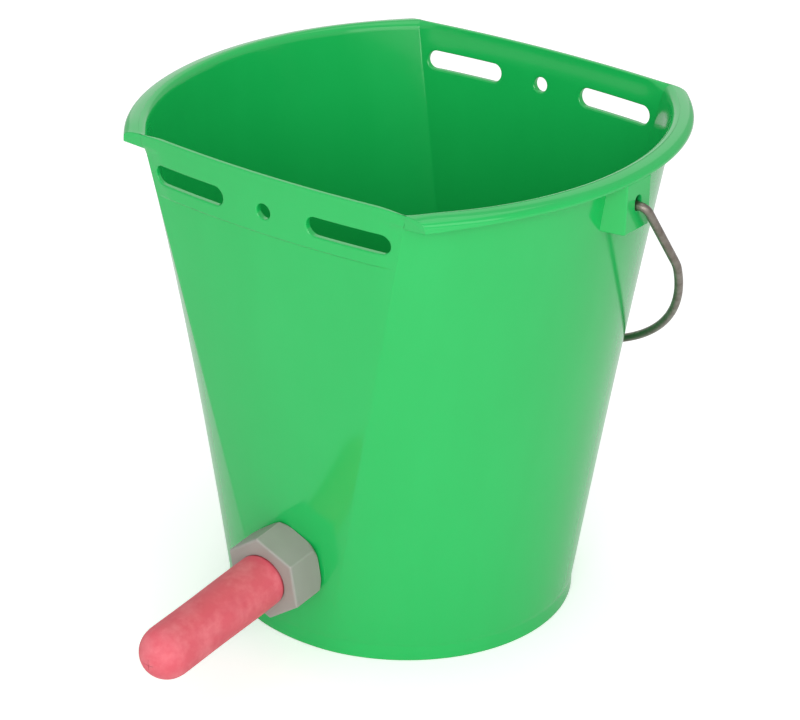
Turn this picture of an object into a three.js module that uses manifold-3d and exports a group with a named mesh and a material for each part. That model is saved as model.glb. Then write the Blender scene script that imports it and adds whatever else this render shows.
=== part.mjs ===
// Calf feeding bucket: a moulded pail with two slotted flats, a wire bail and a teat on a hex nut.
// Millimetres. +Z up, z = 0 is the floor that the foot stands on, X runs from ear to ear,
// and the flat with the teat faces -Y.

import * as THREE from 'three';
import Module from 'manifold-3d';
import { mergeVertices } from 'three/addons/utils/BufferGeometryUtils.js';

const wasm = await Module();
wasm.setup();

// Pail
const bucketHeight = 265;
const baseRadius = 91.2;
const rimHalfWidth = 124.9;
const sideArcHalfLength = 147;
const flatHalfWidth = 79.8;
const flatBow = 5.3;
const flatBaseHalfAngle = THREE.MathUtils.degToRad(12.6);
const wallThickness = 2.5;
const footHeight = 8.5;
const footInset = 0.3;
const footEdge = 0.8;
const floorThickness = 3;
const floorFillet = 5;
const rimEdge = 0.5;
const rimEdgeDepth = 2.4;

// Underside
const underPocketDepth = 3;
const footRingWidth = 6;
const underHubRadius = 14;
const underRibWidth = 3;
const underRibCount = 8;

// Turned-down lip along each side arc
const lipReach = 8.3;
const lipDepth = 4.8;
const lipEndDepth = 8.3;
const lipSkin = 2.2;
const lipFace = 1;
const lipRoot = 1;

// Slotted band along the top of each flat
const bandHeight = 30.5;
const bandRise = 1.2;
const slotLength = 46;
const slotHeight = 10;
const slotOffset = 48;
const slotDrop = 19;
const hangHoleDiameter = 8;

// Ears
const earHalfWidth = 10.5;
const earDrop = 30;
const earSkin = 2.5;
const earHoleDrop = 16;
const earHoleWidth = 5.4;
const earHoleHeight = 8;

// Bail
const wireDiameter = 4.4;
const bailLegOffset = 5;
const bailLegLength = 42;
const bailLegSpread = THREE.MathUtils.degToRad(1.6);
const bailShoulderBend = 30.1;
const bailShoulderTurn = THREE.MathUtils.degToRad(12.15);
const bailBowShare = 1.12;
const bailOuterBend = 4;
const bailHookBend = 4;
const bailHookReach = 7.2;
const bailHookInset = 3.7;

// Teat fitting, measured along its own axis from the outside of the wall
const teatHeight = 49.5;
const holeRadius = 16.5;
const sealPadRadius = 22;
const sealPadRise = 1.2;
const sealRadius = 20.5;
const sealThickness = 2;
const flangeRadius = 20;
const flangeThickness = 3;
const stemLength = 14;
const chamberRadius = 8.2;
const inletRadius = 4.5;
const ballRadius = 7;
const ballTravel = 4;
const cageRadius = 10.2;
const cageThickness = 2.4;
const cageBarWidth = 2;
const nutAcrossFlats = 40.4;
const nutLength = 20.7;
const nutWebThickness = 3.4;
const nutEdge = 1;
const nutBackChamfer = 2;
const nutTurn = THREE.MathUtils.degToRad(6.4);
const teatRadius = 13.95;
const teatVisibleLength = 86.5;
const teatWall = 3.9;
const teatFlangeRadius = 15.9;
const teatFlangeThickness = 3;
const teatSlitLength = 6;
const teatSlitWidth = 0.8;

// Clearances
const seatGap = 0.3;
const runningGap = 0.4;
const overrun = 1;

// Counts of facets
const sideSteps = 28;
const flatSteps = 7;
const wallLevels = 5;
const roundSteps = 36;
const wireSides = 10;
const loopSteps = 76;
const hookSteps = 20;

const plastic = (color, roughness) => new THREE.MeshStandardMaterial({ color, roughness, metalness: 0 });
const greenPlastic = () => plastic(0x3fc471, 0.42);
const greyPlastic = () => plastic(0x96968c, 0.6);
const pinkRubber = () => plastic(0xe0707a, 0.75);
const blackRubber = () => plastic(0x2b2b2b, 0.8);
const whitePlastic = () => plastic(0xeeeeea, 0.4);
const wireSteel = () => new THREE.MeshStandardMaterial({ color: 0x8c857c, roughness: 0.38, metalness: 1 });

/** The closed body of a geometry as a solid that can be joined and cut. */
function solidOf(geometry) {
  const bare = geometry.clone();
  bare.deleteAttribute('normal');
  bare.deleteAttribute('uv');
  const merged = mergeVertices(bare);
  return new wasm.Manifold(new wasm.Mesh({
    numProp: 3,
    vertProperties: new Float32Array(merged.attributes.position.array),
    triVerts: new Uint32Array(merged.index.array),
  }));
}

/** A named mesh of one solid in one material. */
function meshOf(name, solid, material) {
  const { vertProperties, triVerts } = solid.getMesh();
  const geometry = new THREE.BufferGeometry();
  geometry.setAttribute('position', new THREE.BufferAttribute(vertProperties, 3));
  geometry.setIndex(new THREE.BufferAttribute(triVerts, 1));
  geometry.computeVertexNormals();
  const mesh = new THREE.Mesh(geometry, material);
  mesh.name = name;
  return mesh;
}

/**
 * A closed loft through rings of as many points each. The first and the last ring are capped
 * with the triangles of the flat outline, which all rings share.
 */
function loft(rings, outline) {
  const count = rings[0].length;
  const positions = [];
  for (const ring of rings) {
    for (const point of ring) {
      positions.push(point.x, point.y, point.z);
    }
  }
  const index = [];
  for (let level = 0; level < rings.length - 1; level += 1) {
    for (let i = 0; i < count; i += 1) {
      const next = (i + 1) % count;
      const a = level * count + i;
      const b = level * count + next;
      index.push(a, b, b + count, a, b + count, a + count);
    }
  }
  const last = (rings.length - 1) * count;
  const clockwise = THREE.ShapeUtils.isClockWise(outline);
  for (const [i, j, k] of THREE.ShapeUtils.triangulateShape(outline, [])) {
    if (clockwise) {
      index.push(i, j, k, last + i, last + k, last + j);
    } else {
      index.push(i, k, j, last + i, last + j, last + k);
    }
  }
  const geometry = new THREE.BufferGeometry();
  geometry.setAttribute('position', new THREE.Float32BufferAttribute(positions, 3));
  geometry.setIndex(index);
  return geometry;
}

/** A turned piece about +Y. The points are [radius, height] and close on themselves. */
function turned(points, steps = roundSteps) {
  const profile = points.map(([radius, height]) => new THREE.Vector2(radius, height));
  return solidOf(new THREE.LatheGeometry([...profile, profile[0]], steps));
}

/** A box from its low to its high corner. */
function box(low, high) {
  const size = low.map((value, axis) => high[axis] - value);
  const centre = low.map((value, axis) => (value + high[axis]) / 2);
  return solidOf(new THREE.BoxGeometry(...size).translate(...centre));
}

/** A round-ended slot that runs through along Y, centred on a place in X and Z. */
function slotAlongY(length, height, x, z, reach) {
  const shape = new THREE.Shape();
  const half = (length - height) / 2;
  const round = height / 2;
  shape.absarc(half, 0, round, -Math.PI / 2, Math.PI / 2, false);
  shape.absarc(-half, 0, round, Math.PI / 2, 1.5 * Math.PI, false);
  const geometry = new THREE.ExtrudeGeometry(shape, { depth: reach, bevelEnabled: false, curveSegments: 7 });
  return geometry.rotateX(Math.PI / 2).translate(x, reach / 2, z);
}

// The rim is two arcs of one ellipse with a flat, slightly bowed, between them at each end.
const cornerAngle = Math.acos(flatHalfWidth / rimHalfWidth);
const cornerY = sideArcHalfLength * Math.sin(cornerAngle);
const flatTaper = (cornerY + flatBow - baseRadius) / bucketHeight;
const sideTaper = (rimHalfWidth - baseRadius) / bucketHeight;
const bandFoot = bucketHeight - bandHeight;

/** Distance of a flat from the middle at the rim, at a place across its width. */
const flatReach = (x) => cornerY + flatBow * (1 - (x / flatHalfWidth) ** 2);

/** Rim points paired with the points of the round base that their straight wall lines end on. */
function wallLines() {
  const lines = [];
  const addLine = (x, y, angle) => lines.push({
    rim: new THREE.Vector2(x, y),
    base: new THREE.Vector2(baseRadius * Math.cos(angle), baseRadius * Math.sin(angle)),
  });
  for (const side of [0, Math.PI]) {
    const sign = Math.cos(side);
    for (let step = 0; step < sideSteps; step += 1) {
      const share = 2 * (step / sideSteps) - 1;
      const angle = share * cornerAngle;
      addLine(
        sign * rimHalfWidth * Math.cos(angle),
        sign * sideArcHalfLength * Math.sin(angle),
        side + share * (Math.PI / 2 - flatBaseHalfAngle),
      );
    }
    for (let step = 0; step < flatSteps; step += 1) {
      const share = 2 * (step / flatSteps) - 1;
      const x = -share * flatHalfWidth;
      addLine(sign * x, sign * flatReach(x), side + Math.PI / 2 + share * flatBaseHalfAngle);
    }
  }
  return lines;
}

const lines = wallLines();
const flatStart = { back: sideSteps, front: 2 * sideSteps + flatSteps };

/** The pail's outline at a height, drawn in by an inset that may differ from point to point. */
function outlineAt(height, inset) {
  const share = height / bucketHeight;
  const points = lines.map(({ rim, base }) => base.clone().lerp(rim, share));
  const insetOf = typeof inset === 'function' ? inset : () => inset;
  return points.map((point, i) => {
    const before = points[(i + points.length - 1) % points.length];
    const after = points[(i + 1) % points.length];
    const inA = new THREE.Vector2(before.y - point.y, point.x - before.x).normalize();
    const inB = new THREE.Vector2(point.y - after.y, after.x - point.x).normalize();
    const mitre = inA.clone().add(inB).divideScalar(1 + inA.dot(inB));
    return point.clone().addScaledVector(mitre, insetOf(i));
  });
}

/** One level ring of the pail, drawn at one height and placed at another. */
function ringAt(height, inset, z = height) {
  return outlineAt(height, inset).map((point) => new THREE.Vector3(point.x, point.y, z));
}

/** The full body of the pail, without its hollow. */
function wallBody() {
  const rings = [
    ringAt(footHeight, footInset + footEdge, 0),
    ringAt(footHeight, footInset, footEdge),
    ringAt(footHeight, footInset),
    ringAt(footHeight + footInset, 0),
  ];
  for (let level = 1; level <= wallLevels; level += 1) {
    rings.push(ringAt(THREE.MathUtils.lerp(footHeight, bucketHeight, level / wallLevels), 0));
  }
  return solidOf(loft(rings, outlineAt(footHeight, footInset)));
}

/** How far the inner edge of the rim is drawn outward: furthest where the band makes the wall thick. */
function edgeShift(i) {
  const raised = Object.values(flatStart).some((start) => i > start && i < start + flatSteps);
  return raised ? bandRise : rimEdge;
}

/** The hollow of the pail, from the floor's fillet to the inner edge of the rim. */
function wallHollow() {
  const floorTop = underPocketDepth + floorThickness;
  const filletShares = [[1, 0], [0.62, 0.08], [0.29, 0.29], [0.08, 0.62], [0, 1]];
  const rings = filletShares.map(([inset, rise]) => (
    ringAt(floorTop + rise * floorFillet, wallThickness + inset * floorFillet)
  ));
  const top = bucketHeight - rimEdgeDepth;
  for (let level = 1; level <= wallLevels; level += 1) {
    rings.push(ringAt(THREE.MathUtils.lerp(floorTop + floorFillet, top, level / wallLevels), wallThickness));
  }
  const edgeInset = (i) => wallThickness - edgeShift(i);
  rings.push(ringAt(bucketHeight, edgeInset), ringAt(bucketHeight, edgeInset, bucketHeight + overrun));
  return solidOf(loft(rings, outlineAt(floorTop, wallThickness + floorFillet)));
}

/** The shallow pockets between the ribs under the floor. */
function underPockets() {
  const reach = baseRadius - footInset - footRingWidth;
  let pockets = turned([
    [underHubRadius, -overrun],
    [reach, -overrun],
    [reach, underPocketDepth],
    [underHubRadius, underPocketDepth],
  ]).rotate([90, 0, 0]);
  for (let rib = 0; rib < underRibCount; rib += 1) {
    const bar = box(
      [0, -underRibWidth / 2, -2 * overrun],
      [baseRadius, underRibWidth / 2, underPocketDepth + overrun],
    );
    pockets = pockets.subtract(bar.rotate([0, 0, (rib + 0.5) * (360 / underRibCount)]));
  }
  return pockets;
}

/** The raised band across one flat, which fades out at its two corners. */
function slottedBand(start) {
  const columns = Array.from({ length: flatSteps + 1 }, (_, step) => (start + step) % lines.length);
  const levels = [
    { height: bandFoot - bandRise, rise: 0 },
    { height: bandFoot, rise: bandRise },
    { height: bucketHeight, rise: bandRise },
  ];
  const inside = wallThickness / 2;
  const rings = levels.map(({ height, rise }) => {
    const outer = outlineAt(height, (i) => (i === columns[0] || i === columns[flatSteps] ? 0 : -rise));
    const inner = outlineAt(height, inside);
    return [
      ...columns.map((i) => outer[i]),
      ...[...columns].reverse().map((i) => inner[i]),
    ].map((point) => new THREE.Vector3(point.x, point.y, height));
  });
  return solidOf(loft(rings, rings[0].map((point) => new THREE.Vector2(point.x, point.y))));
}

/** Everything between the two planes that the lips end in, moved in by an inset, near the rim. */
function betweenEnds(inset) {
  const reach = rimHalfWidth + 2 * lipReach;
  const rings = [bucketHeight - 2 * lipEndDepth, bucketHeight + overrun].map((height) => {
    const y = cornerY + bandRise - (bucketHeight - height) * flatTaper - inset;
    return [[-reach, -y], [reach, -y], [reach, y], [-reach, y]].map(([x, side]) => (
      new THREE.Vector3(x, side, height)
    ));
  });
  return solidOf(loft(rings, rings[0].map((point) => new THREE.Vector2(point.x, point.y))));
}

/** The lip's depth along its arc, from the middle to the ends. It is deepest at its two ends. */
const lipDepthAt = (share) => THREE.MathUtils.lerp(lipDepth, lipEndDepth, share ** 4);

/** The lip's rounded crown from the wall's inside to its upright face, as points [reach, drop]. */
function lipCrown(depth) {
  const crownSteps = 6;
  const crown = Array.from({ length: crownSteps + 1 }, (_, step) => {
    const angle = (Math.PI / 2) * (step / crownSteps);
    return [
      (lipReach + wallThickness) * Math.sin(angle) - wallThickness,
      (depth - lipFace) * (1 - Math.cos(angle)),
    ];
  });
  return [[-lipRoot, 0], ...crown.filter(([reach]) => reach > -lipRoot), [lipReach, depth]];
}

/** The lip as a thin skirt, open below. */
function lipSkirt(depth) {
  const inner = lipReach - lipSkin;
  return [
    ...lipCrown(depth),
    [inner, depth],
    [inner, depth - lipFace],
    [inner / 2, lipSkin + lipFace],
    [-lipRoot, lipSkin],
  ];
}

/** The lip as a solid bar, which closes its ends. */
const lipPlug = (depth) => [...lipCrown(depth), [-2 * lipRoot, depth]];

/** A section of the lip swept along one side arc. It is given for each depth. */
function sweptLip(sectionOf, sign) {
  const outline = sectionOf(lipEndDepth).map(([reach, drop]) => new THREE.Vector2(reach, -drop));
  const rings = [];
  for (let step = 0; step <= sideSteps; step += 1) {
    const share = 2 * (step / sideSteps) - 1;
    const angle = share * cornerAngle;
    const foot = new THREE.Vector2(rimHalfWidth * Math.cos(angle), sideArcHalfLength * Math.sin(angle));
    const out = new THREE.Vector2(foot.x / rimHalfWidth ** 2, foot.y / sideArcHalfLength ** 2).normalize();
    rings.push(sectionOf(lipDepthAt(share)).map(([reach, drop]) => new THREE.Vector3(
      sign * (foot.x + out.x * reach),
      sign * (foot.y + out.y * reach),
      bucketHeight - drop,
    )));
  }
  return solidOf(loft(rings, outline));
}

/** One lip: a thin turned-down skirt whose two ends are closed by upright plates. */
function lip(sign) {
  const space = betweenEnds(0);
  const ends = sweptLip(lipPlug, sign).intersect(space).subtract(betweenEnds(lipSkin));
  return sweptLip(lipSkirt, sign).intersect(space).add(ends);
}

const earFaceX = rimHalfWidth + lipReach;

/** One hollow ear, open below, with the hole that the bail's end goes through. */
function ear(sign) {
  const bottom = bucketHeight - earDrop;
  const top = bucketHeight - lipDepth;
  const root = baseRadius + sideTaper * bottom - wallThickness;
  const block = box([root, -earHalfWidth, bottom], [earFaceX, earHalfWidth, top]);
  const aboveBlock = box([root, -earHalfWidth, top - lipFace], [2 * earFaceX, earHalfWidth, bucketHeight]);
  const underLip = sweptLip(lipPlug, 1).intersect(aboveBlock);
  const hollow = box(
    [0, earSkin - earHalfWidth, bottom - overrun],
    [earFaceX - earSkin, earHalfWidth - earSkin, top],
  );
  const hole = solidOf(
    slotAlongY(earHoleHeight, earHoleWidth, 0, 0, 4 * earSkin).rotateY(Math.PI / 2).rotateZ(Math.PI / 2),
  ).translate([earFaceX - earSkin / 2, 0, bucketHeight - earHoleDrop]);
  const shape = block.add(underLip).subtract(hollow).subtract(hole);
  return sign > 0 ? shape : shape.rotate([0, 0, 180]);
}

// The teat's axis stands square on the wall at the foot of the front flat.
const wallTilt = Math.atan(flatTaper);
const fittingPlace = new THREE.Group();
fittingPlace.position.set(0, -(baseRadius + flatTaper * teatHeight), teatHeight);
fittingPlace.rotation.x = Math.PI + wallTilt;
fittingPlace.updateMatrix();

/** A turned piece of the fitting, moved to its place in the pail. */
function inPlace(points) {
  const profile = points.map(([radius, height]) => new THREE.Vector2(radius, height));
  const geometry = new THREE.LatheGeometry([...profile, profile[0]], roundSteps);
  return solidOf(geometry.applyMatrix4(fittingPlace.matrix));
}

/** The moulded pail with lips, bands, slots, ears, ribs and the hole for the fitting. */
function bucketShell() {
  let shell = wallBody();
  for (const start of Object.values(flatStart)) {
    shell = shell.add(slottedBand(start));
  }
  for (const sign of [1, -1]) {
    shell = shell.add(lip(sign)).add(ear(sign));
  }
  shell = shell.subtract(wallHollow()).subtract(underPockets());
  const through = 4 * (cornerY + flatBow);
  for (const side of [-1, 1]) {
    shell = shell.subtract(solidOf(
      slotAlongY(slotLength, slotHeight, side * slotOffset, bucketHeight - slotDrop, through),
    ));
  }
  shell = shell.subtract(solidOf(
    slotAlongY(hangHoleDiameter + seatGap, hangHoleDiameter, 0, bucketHeight - slotDrop, through),
  ));
  const padFace = -(wallThickness + sealPadRise);
  const padFoot = -wallThickness / 2;
  const holeEnd = padFace - overrun;
  const pad = inPlace([[0, padFoot], [0, padFace], [sealPadRadius, padFace], [sealPadRadius, padFoot]]);
  const hole = inPlace([[0, overrun], [0, holeEnd], [holeRadius, holeEnd], [holeRadius, overrun]]);
  return shell.add(pad).subtract(hole);
}

/** A part of a circle in the bail's own plane. */
class BailArc extends THREE.Curve {
  constructor(x, down, reachX, reachDown, from, to) {
    super();
    Object.assign(this, { x, down, reachX, reachDown, from, to });
  }

  getPoint(share) {
    const angle = THREE.MathUtils.lerp(this.from, this.to, share);
    const x = this.x + this.reachX * Math.cos(angle);
    return new THREE.Vector3(x, 0, -(this.down + this.reachDown * Math.sin(angle)));
  }
}

/** A straight run in the bail's own plane, from and to [x, down]. */
const bailRun = (from, to) => new THREE.LineCurve3(
  new THREE.Vector3(from[0], 0, -from[1]),
  new THREE.Vector3(to[0], 0, -to[1]),
);

const bailLegX = earFaceX + bailLegOffset;
const bailAxisHeight = bucketHeight - earHoleDrop - earHoleHeight / 2 + wireDiameter / 2 + seatGap;

/** Where the legs end, the shoulders bend and the oval bow lies, in the bail's own plane. */
function bailForm() {
  const elbow = { x: bailLegX - bailOuterBend * Math.cos(bailLegSpread), down: bailOuterBend };
  const legTop = { x: bailLegX, down: bailOuterBend * (1 - Math.sin(bailLegSpread)) };
  const legFoot = {
    x: legTop.x + bailLegLength * Math.sin(bailLegSpread),
    down: legTop.down + bailLegLength * Math.cos(bailLegSpread),
  };
  const shoulder = {
    x: legFoot.x - bailShoulderBend * Math.cos(bailLegSpread),
    down: legFoot.down + bailShoulderBend * Math.sin(bailLegSpread),
  };
  const bowFrom = Math.atan(bailBowShare * Math.tan(bailShoulderTurn));
  const bowHalfWidth = (shoulder.x + bailShoulderBend * Math.cos(bailShoulderTurn)) / Math.cos(bowFrom);
  const bowDepth = bailBowShare * bowHalfWidth;
  const bowDown = shoulder.down + bailShoulderBend * Math.sin(bailShoulderTurn) - bowDepth * Math.sin(bowFrom);
  return { elbow, legTop, legFoot, shoulder, bowFrom, bowHalfWidth, bowDepth, bowDown };
}

/** How far a place lies outside a closed outline, negative inside it. */
function distanceOutside(place, outline) {
  let nearest = Infinity;
  let inside = false;
  outline.forEach((from, i) => {
    const to = outline[(i + 1) % outline.length];
    const along = to.clone().sub(from);
    const share = THREE.MathUtils.clamp(place.clone().sub(from).dot(along) / along.lengthSq(), 0, 1);
    nearest = Math.min(nearest, from.clone().addScaledVector(along, share).distanceTo(place));
    if ((from.y > place.y) !== (to.y > place.y)) {
      const crossing = from.x + ((place.y - from.y) / (to.y - from.y)) * along.x;
      inside = crossing > place.x ? !inside : inside;
    }
  });
  return inside ? -nearest : nearest;
}

/** The angle from straight down at which the hanging bail comes to lean on the back wall. */
function bailHangAngle() {
  const clearance = (wireDiameter / 2 + seatGap) / Math.cos(Math.atan(flatTaper));
  const { bowHalfWidth, bowDepth, bowDown } = bailForm();
  const touches = (angle) => Array.from({ length: 2 * sideSteps + 1 }, (_, i) => {
    const turn = (Math.PI * (i / (2 * sideSteps) + 1)) / 3;
    const down = bowDown + bowDepth * Math.sin(turn);
    const height = bailAxisHeight - down * Math.cos(angle);
    const place = new THREE.Vector2(bowHalfWidth * Math.cos(turn), down * Math.sin(angle));
    return distanceOutside(place, outlineAt(height, 0)) < clearance;
  }).some(Boolean);
  let low = 0;
  let high = Math.PI / 2;
  for (let halving = 0; halving < 16; halving += 1) {
    const middle = (low + high) / 2;
    if (touches(middle)) {
      low = middle;
    } else {
      high = middle;
    }
  }
  return high;
}

/** A round wire along a run of curves. */
function wire(curves, steps) {
  const path = new THREE.CurvePath();
  for (const curve of curves) {
    path.add(curve);
  }
  const round = Array.from({ length: wireSides }, (_, i) => {
    const angle = (2 * Math.PI * i) / wireSides;
    return new THREE.Vector2((wireDiameter / 2) * Math.cos(angle), (wireDiameter / 2) * Math.sin(angle));
  });
  const options = { steps, extrudePath: path, bevelEnabled: false };
  return solidOf(new THREE.ExtrudeGeometry(new THREE.Shape(round), options));
}

/** The bail: legs, bow, and the two ends that turn in through the ears and hook down inside. */
function bail() {
  const { elbow, legTop, legFoot, shoulder, bowFrom, bowHalfWidth, bowDepth, bowDown } = bailForm();
  const hookX = earFaceX - earSkin - bailHookInset;
  const bend = bailShoulderBend;
  const loop = wire([
    bailRun([legTop.x, legTop.down], [legFoot.x, legFoot.down]),
    new BailArc(shoulder.x, shoulder.down, bend, bend, -bailLegSpread, bailShoulderTurn),
    new BailArc(0, bowDown, bowHalfWidth, bowDepth, bowFrom, Math.PI - bowFrom),
    new BailArc(-shoulder.x, shoulder.down, bend, bend, Math.PI - bailShoulderTurn, Math.PI + bailLegSpread),
    bailRun([-legFoot.x, legFoot.down], [-legTop.x, legTop.down]),
  ], loopSteps);
  const overlap = wireDiameter / (2 * bailLegLength);
  const join = [
    THREE.MathUtils.lerp(legTop.x, legFoot.x, overlap),
    THREE.MathUtils.lerp(legTop.down, legFoot.down, overlap),
  ];
  const end = wire([
    bailRun(join, [legTop.x, legTop.down]),
    new BailArc(elbow.x, elbow.down, bailOuterBend, bailOuterBend, -bailLegSpread, -Math.PI / 2),
    bailRun([elbow.x, 0], [hookX + bailHookBend, 0]),
    new BailArc(hookX + bailHookBend, bailHookBend, bailHookBend, bailHookBend, 1.5 * Math.PI, Math.PI),
    bailRun([hookX, bailHookBend], [hookX, bailHookReach]),
  ], hookSteps);
  return loop.add(end).add(end.rotate([0, 0, 180]));
}

// The ball lies on the floor of its chamber against the cage, a travel away from its cone seat.
const ballPlace = stemLength - cageThickness - ballRadius;
const ballDrop = chamberRadius - ballRadius - seatGap;

/** The flanged stem that goes out through the wall, with the ball's seat and chamber. */
function valveBody() {
  const back = -(wallThickness + sealPadRise + 2 * seatGap + sealThickness);
  const front = back - flangeThickness;
  const stemRadius = holeRadius - seatGap;
  const coneTip = ballPlace - ballTravel - ballDrop - Math.SQRT2 * (ballRadius + seatGap);
  const cageSeat = stemLength - cageThickness;
  return turned([
    [inletRadius, front],
    [flangeRadius - seatGap, front],
    [flangeRadius, front + seatGap],
    [flangeRadius, back],
    [stemRadius, back],
    [stemRadius, stemLength],
    [cageRadius + seatGap, stemLength],
    [cageRadius + seatGap, cageSeat],
    [chamberRadius, cageSeat],
    [chamberRadius, coneTip + chamberRadius],
    [inletRadius, coneTip + inletRadius],
  ]);
}

/** The washer between the flange and the pad inside the wall. */
function flangeSeal() {
  const top = -(wallThickness + sealPadRise + seatGap);
  return turned([
    [holeRadius, top - sealThickness],
    [sealRadius, top - sealThickness],
    [sealRadius, top],
    [holeRadius, top],
  ]);
}

/** The cage across the end of the stem that keeps the ball in. */
function ballCage() {
  const back = stemLength - cageThickness + seatGap;
  const ring = turned([
    [chamberRadius, back],
    [cageRadius, back],
    [cageRadius, stemLength],
    [chamberRadius, stemLength],
  ]);
  const reach = (cageRadius + chamberRadius) / 2;
  const bar = box([-reach, back, -cageBarWidth / 2], [reach, stemLength, cageBarWidth / 2]);
  return ring.add(bar).add(bar.rotate([0, 90, 0]));
}

/** The hex nut that holds the teat and the stem, with a thread bore and a front web. */
function teatNut() {
  const corner = nutAcrossFlats / Math.sqrt(3);
  const shape = new THREE.Shape(Array.from({ length: 6 }, (_, i) => {
    const angle = Math.PI / 2 + nutTurn + (i * Math.PI) / 3;
    const radius = corner - nutEdge;
    return new THREE.Vector2(radius * Math.cos(angle), radius * Math.sin(angle));
  }));
  const hex = new THREE.ExtrudeGeometry(shape, {
    depth: nutLength - 2 * nutEdge,
    bevelThickness: nutEdge,
    bevelSize: nutEdge,
    bevelSegments: 3,
  });
  const back = seatGap;
  hex.translate(0, 0, back + nutEdge).rotateX(-Math.PI / 2);
  const front = back + nutLength;
  const web = front - nutWebThickness;
  const bore = holeRadius + runningGap;
  const throat = teatRadius + seatGap;
  const backRound = turned([
    [0, back - overrun],
    [corner - nutBackChamfer - overrun, back - overrun],
    [corner + overrun, back + nutBackChamfer + overrun],
    [corner + overrun, front + overrun],
    [0, front + overrun],
  ]);
  return solidOf(hex).intersect(backRound).subtract(turned([
    [0, back - overrun],
    [bore, back - overrun],
    [bore, web],
    [throat, web],
    [throat, front + overrun],
    [0, front + overrun],
  ]));
}

/** The hollow rubber teat, flanged at its foot, with a cross slit through its round tip. */
function teat() {
  const foot = stemLength + seatGap;
  const tip = seatGap + nutLength + teatVisibleLength;
  const centre = tip - teatRadius;
  const bore = teatRadius - teatWall;
  const arc = (radius, from, to) => Array.from({ length: 9 }, (_, i) => {
    const angle = THREE.MathUtils.lerp(from, to, i / 8);
    return [radius * Math.cos(angle), centre + radius * Math.sin(angle)];
  });
  const body = turned([
    [bore, foot],
    [teatFlangeRadius, foot],
    [teatFlangeRadius, foot + teatFlangeThickness],
    [teatRadius, foot + teatFlangeThickness],
    ...arc(teatRadius, 0, Math.PI / 2),
    ...arc(bore, Math.PI / 2, 0),
  ], 36);
  const low = centre + bore / 2;
  const slit = box(
    [-teatSlitLength / 2, low, -teatSlitWidth / 2],
    [teatSlitLength / 2, tip + overrun, teatSlitWidth / 2],
  );
  return body.subtract(slit).subtract(slit.rotate([0, 90, 0]));
}

const group = new THREE.Group();
group.add(meshOf('bucket_shell', bucketShell(), greenPlastic()));

const bailMesh = meshOf('bail_handle', bail(), wireSteel());
bailMesh.position.z = bailAxisHeight;
bailMesh.rotation.x = bailHangAngle();
group.add(bailMesh);

fittingPlace.add(meshOf('valve_body', valveBody(), greyPlastic()));
fittingPlace.add(meshOf('flange_seal', flangeSeal(), blackRubber()));
fittingPlace.add(meshOf('ball_cage', ballCage(), whitePlastic()));
fittingPlace.add(meshOf('teat_nut', teatNut(), greyPlastic()));
fittingPlace.add(meshOf('teat', teat(), pinkRubber()));

const ball = meshOf('valve_ball', solidOf(new THREE.SphereGeometry(ballRadius, 24, 16)), whitePlastic());
ball.position.set(0, ballPlace, ballDrop);
fittingPlace.add(ball);
group.add(fittingPlace);

export default group;
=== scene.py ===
"""Calf feeding bucket: a moulded green pail, a wire bail and a rubber teat on a hex nut.

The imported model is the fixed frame, and the pieces made here take its place in the picture.
The classes hold their sizes in millimetres, in the frame's axes: X runs from ear to ear,
the flat with the teat faces -Y and the foot stands on z = 0. Meshes are made in metres.
"""

from __future__ import annotations

import logging
import math
from dataclasses import dataclass, field
from enum import Enum

import bmesh
import bpy
import numpy as np
from mathutils import Matrix, Vector


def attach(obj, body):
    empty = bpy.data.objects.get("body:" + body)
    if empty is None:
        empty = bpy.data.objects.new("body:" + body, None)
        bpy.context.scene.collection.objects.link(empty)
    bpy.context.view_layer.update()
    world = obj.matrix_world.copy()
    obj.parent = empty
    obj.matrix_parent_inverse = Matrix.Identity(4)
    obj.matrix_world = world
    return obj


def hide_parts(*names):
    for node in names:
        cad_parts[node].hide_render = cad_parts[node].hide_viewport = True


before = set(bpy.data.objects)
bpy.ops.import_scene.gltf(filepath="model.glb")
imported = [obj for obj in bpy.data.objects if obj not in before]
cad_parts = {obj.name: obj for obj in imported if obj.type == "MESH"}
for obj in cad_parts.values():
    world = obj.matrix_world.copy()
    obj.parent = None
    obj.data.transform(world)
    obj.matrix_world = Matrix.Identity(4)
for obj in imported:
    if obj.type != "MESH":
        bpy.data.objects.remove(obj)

MM = 0.001
log = logging.getLogger("bucket")


class Ends(Enum):
    """How a skin of rings is closed at its two ends."""

    POLES = "each end closes on the middle of its ring"
    JOINED = "the last ring joins the first"


class Cut(Enum):
    """What a tool does to the solid it is used on."""

    ADD = "UNION"
    REMOVE = "DIFFERENCE"


def smooth_step(values: np.ndarray | float) -> np.ndarray:
    """Three times the square less twice the cube of a share, held between 0 and 1.

    Args:
        values: Shares, below 0 and above 1 too.

    Returns:
        The eased shares.
    """
    share = np.clip(values, 0.0, 1.0)
    return share * share * (3.0 - 2.0 * share)


def soften_rings(rings: np.ndarray, spread: np.ndarray) -> np.ndarray:
    """Each ring averaged along itself with a bell curve, worked out by its waves.

    Args:
        rings: Points, one row for each ring.
        spread: The bell curve's spread for each ring, in steps between points.

    Returns:
        The softened rings.
    """
    waves = np.fft.rfft(rings, axis=1)
    turns = 2.0 * np.pi * np.arange(waves.shape[1]) / rings.shape[1]
    keep = np.exp(-0.5 * (spread[:, None] * turns[None, :]) ** 2)
    return np.fft.irfft(waves * keep[:, :, None], n=rings.shape[1], axis=1)


def quarter_round(radius: float, steps: int) -> tuple[np.ndarray, np.ndarray]:
    """The points of a rounded edge, from one face round to the next.

    Args:
        radius: The rounding's radius.
        steps: Points on it.

    Returns:
        Each point's distance from the face that it runs to, and from the one that it starts on.
    """
    turn = np.linspace(0.0, np.pi / 2, steps)
    return radius * (1 - np.sin(turn)), radius * (1 - np.cos(turn))


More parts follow.
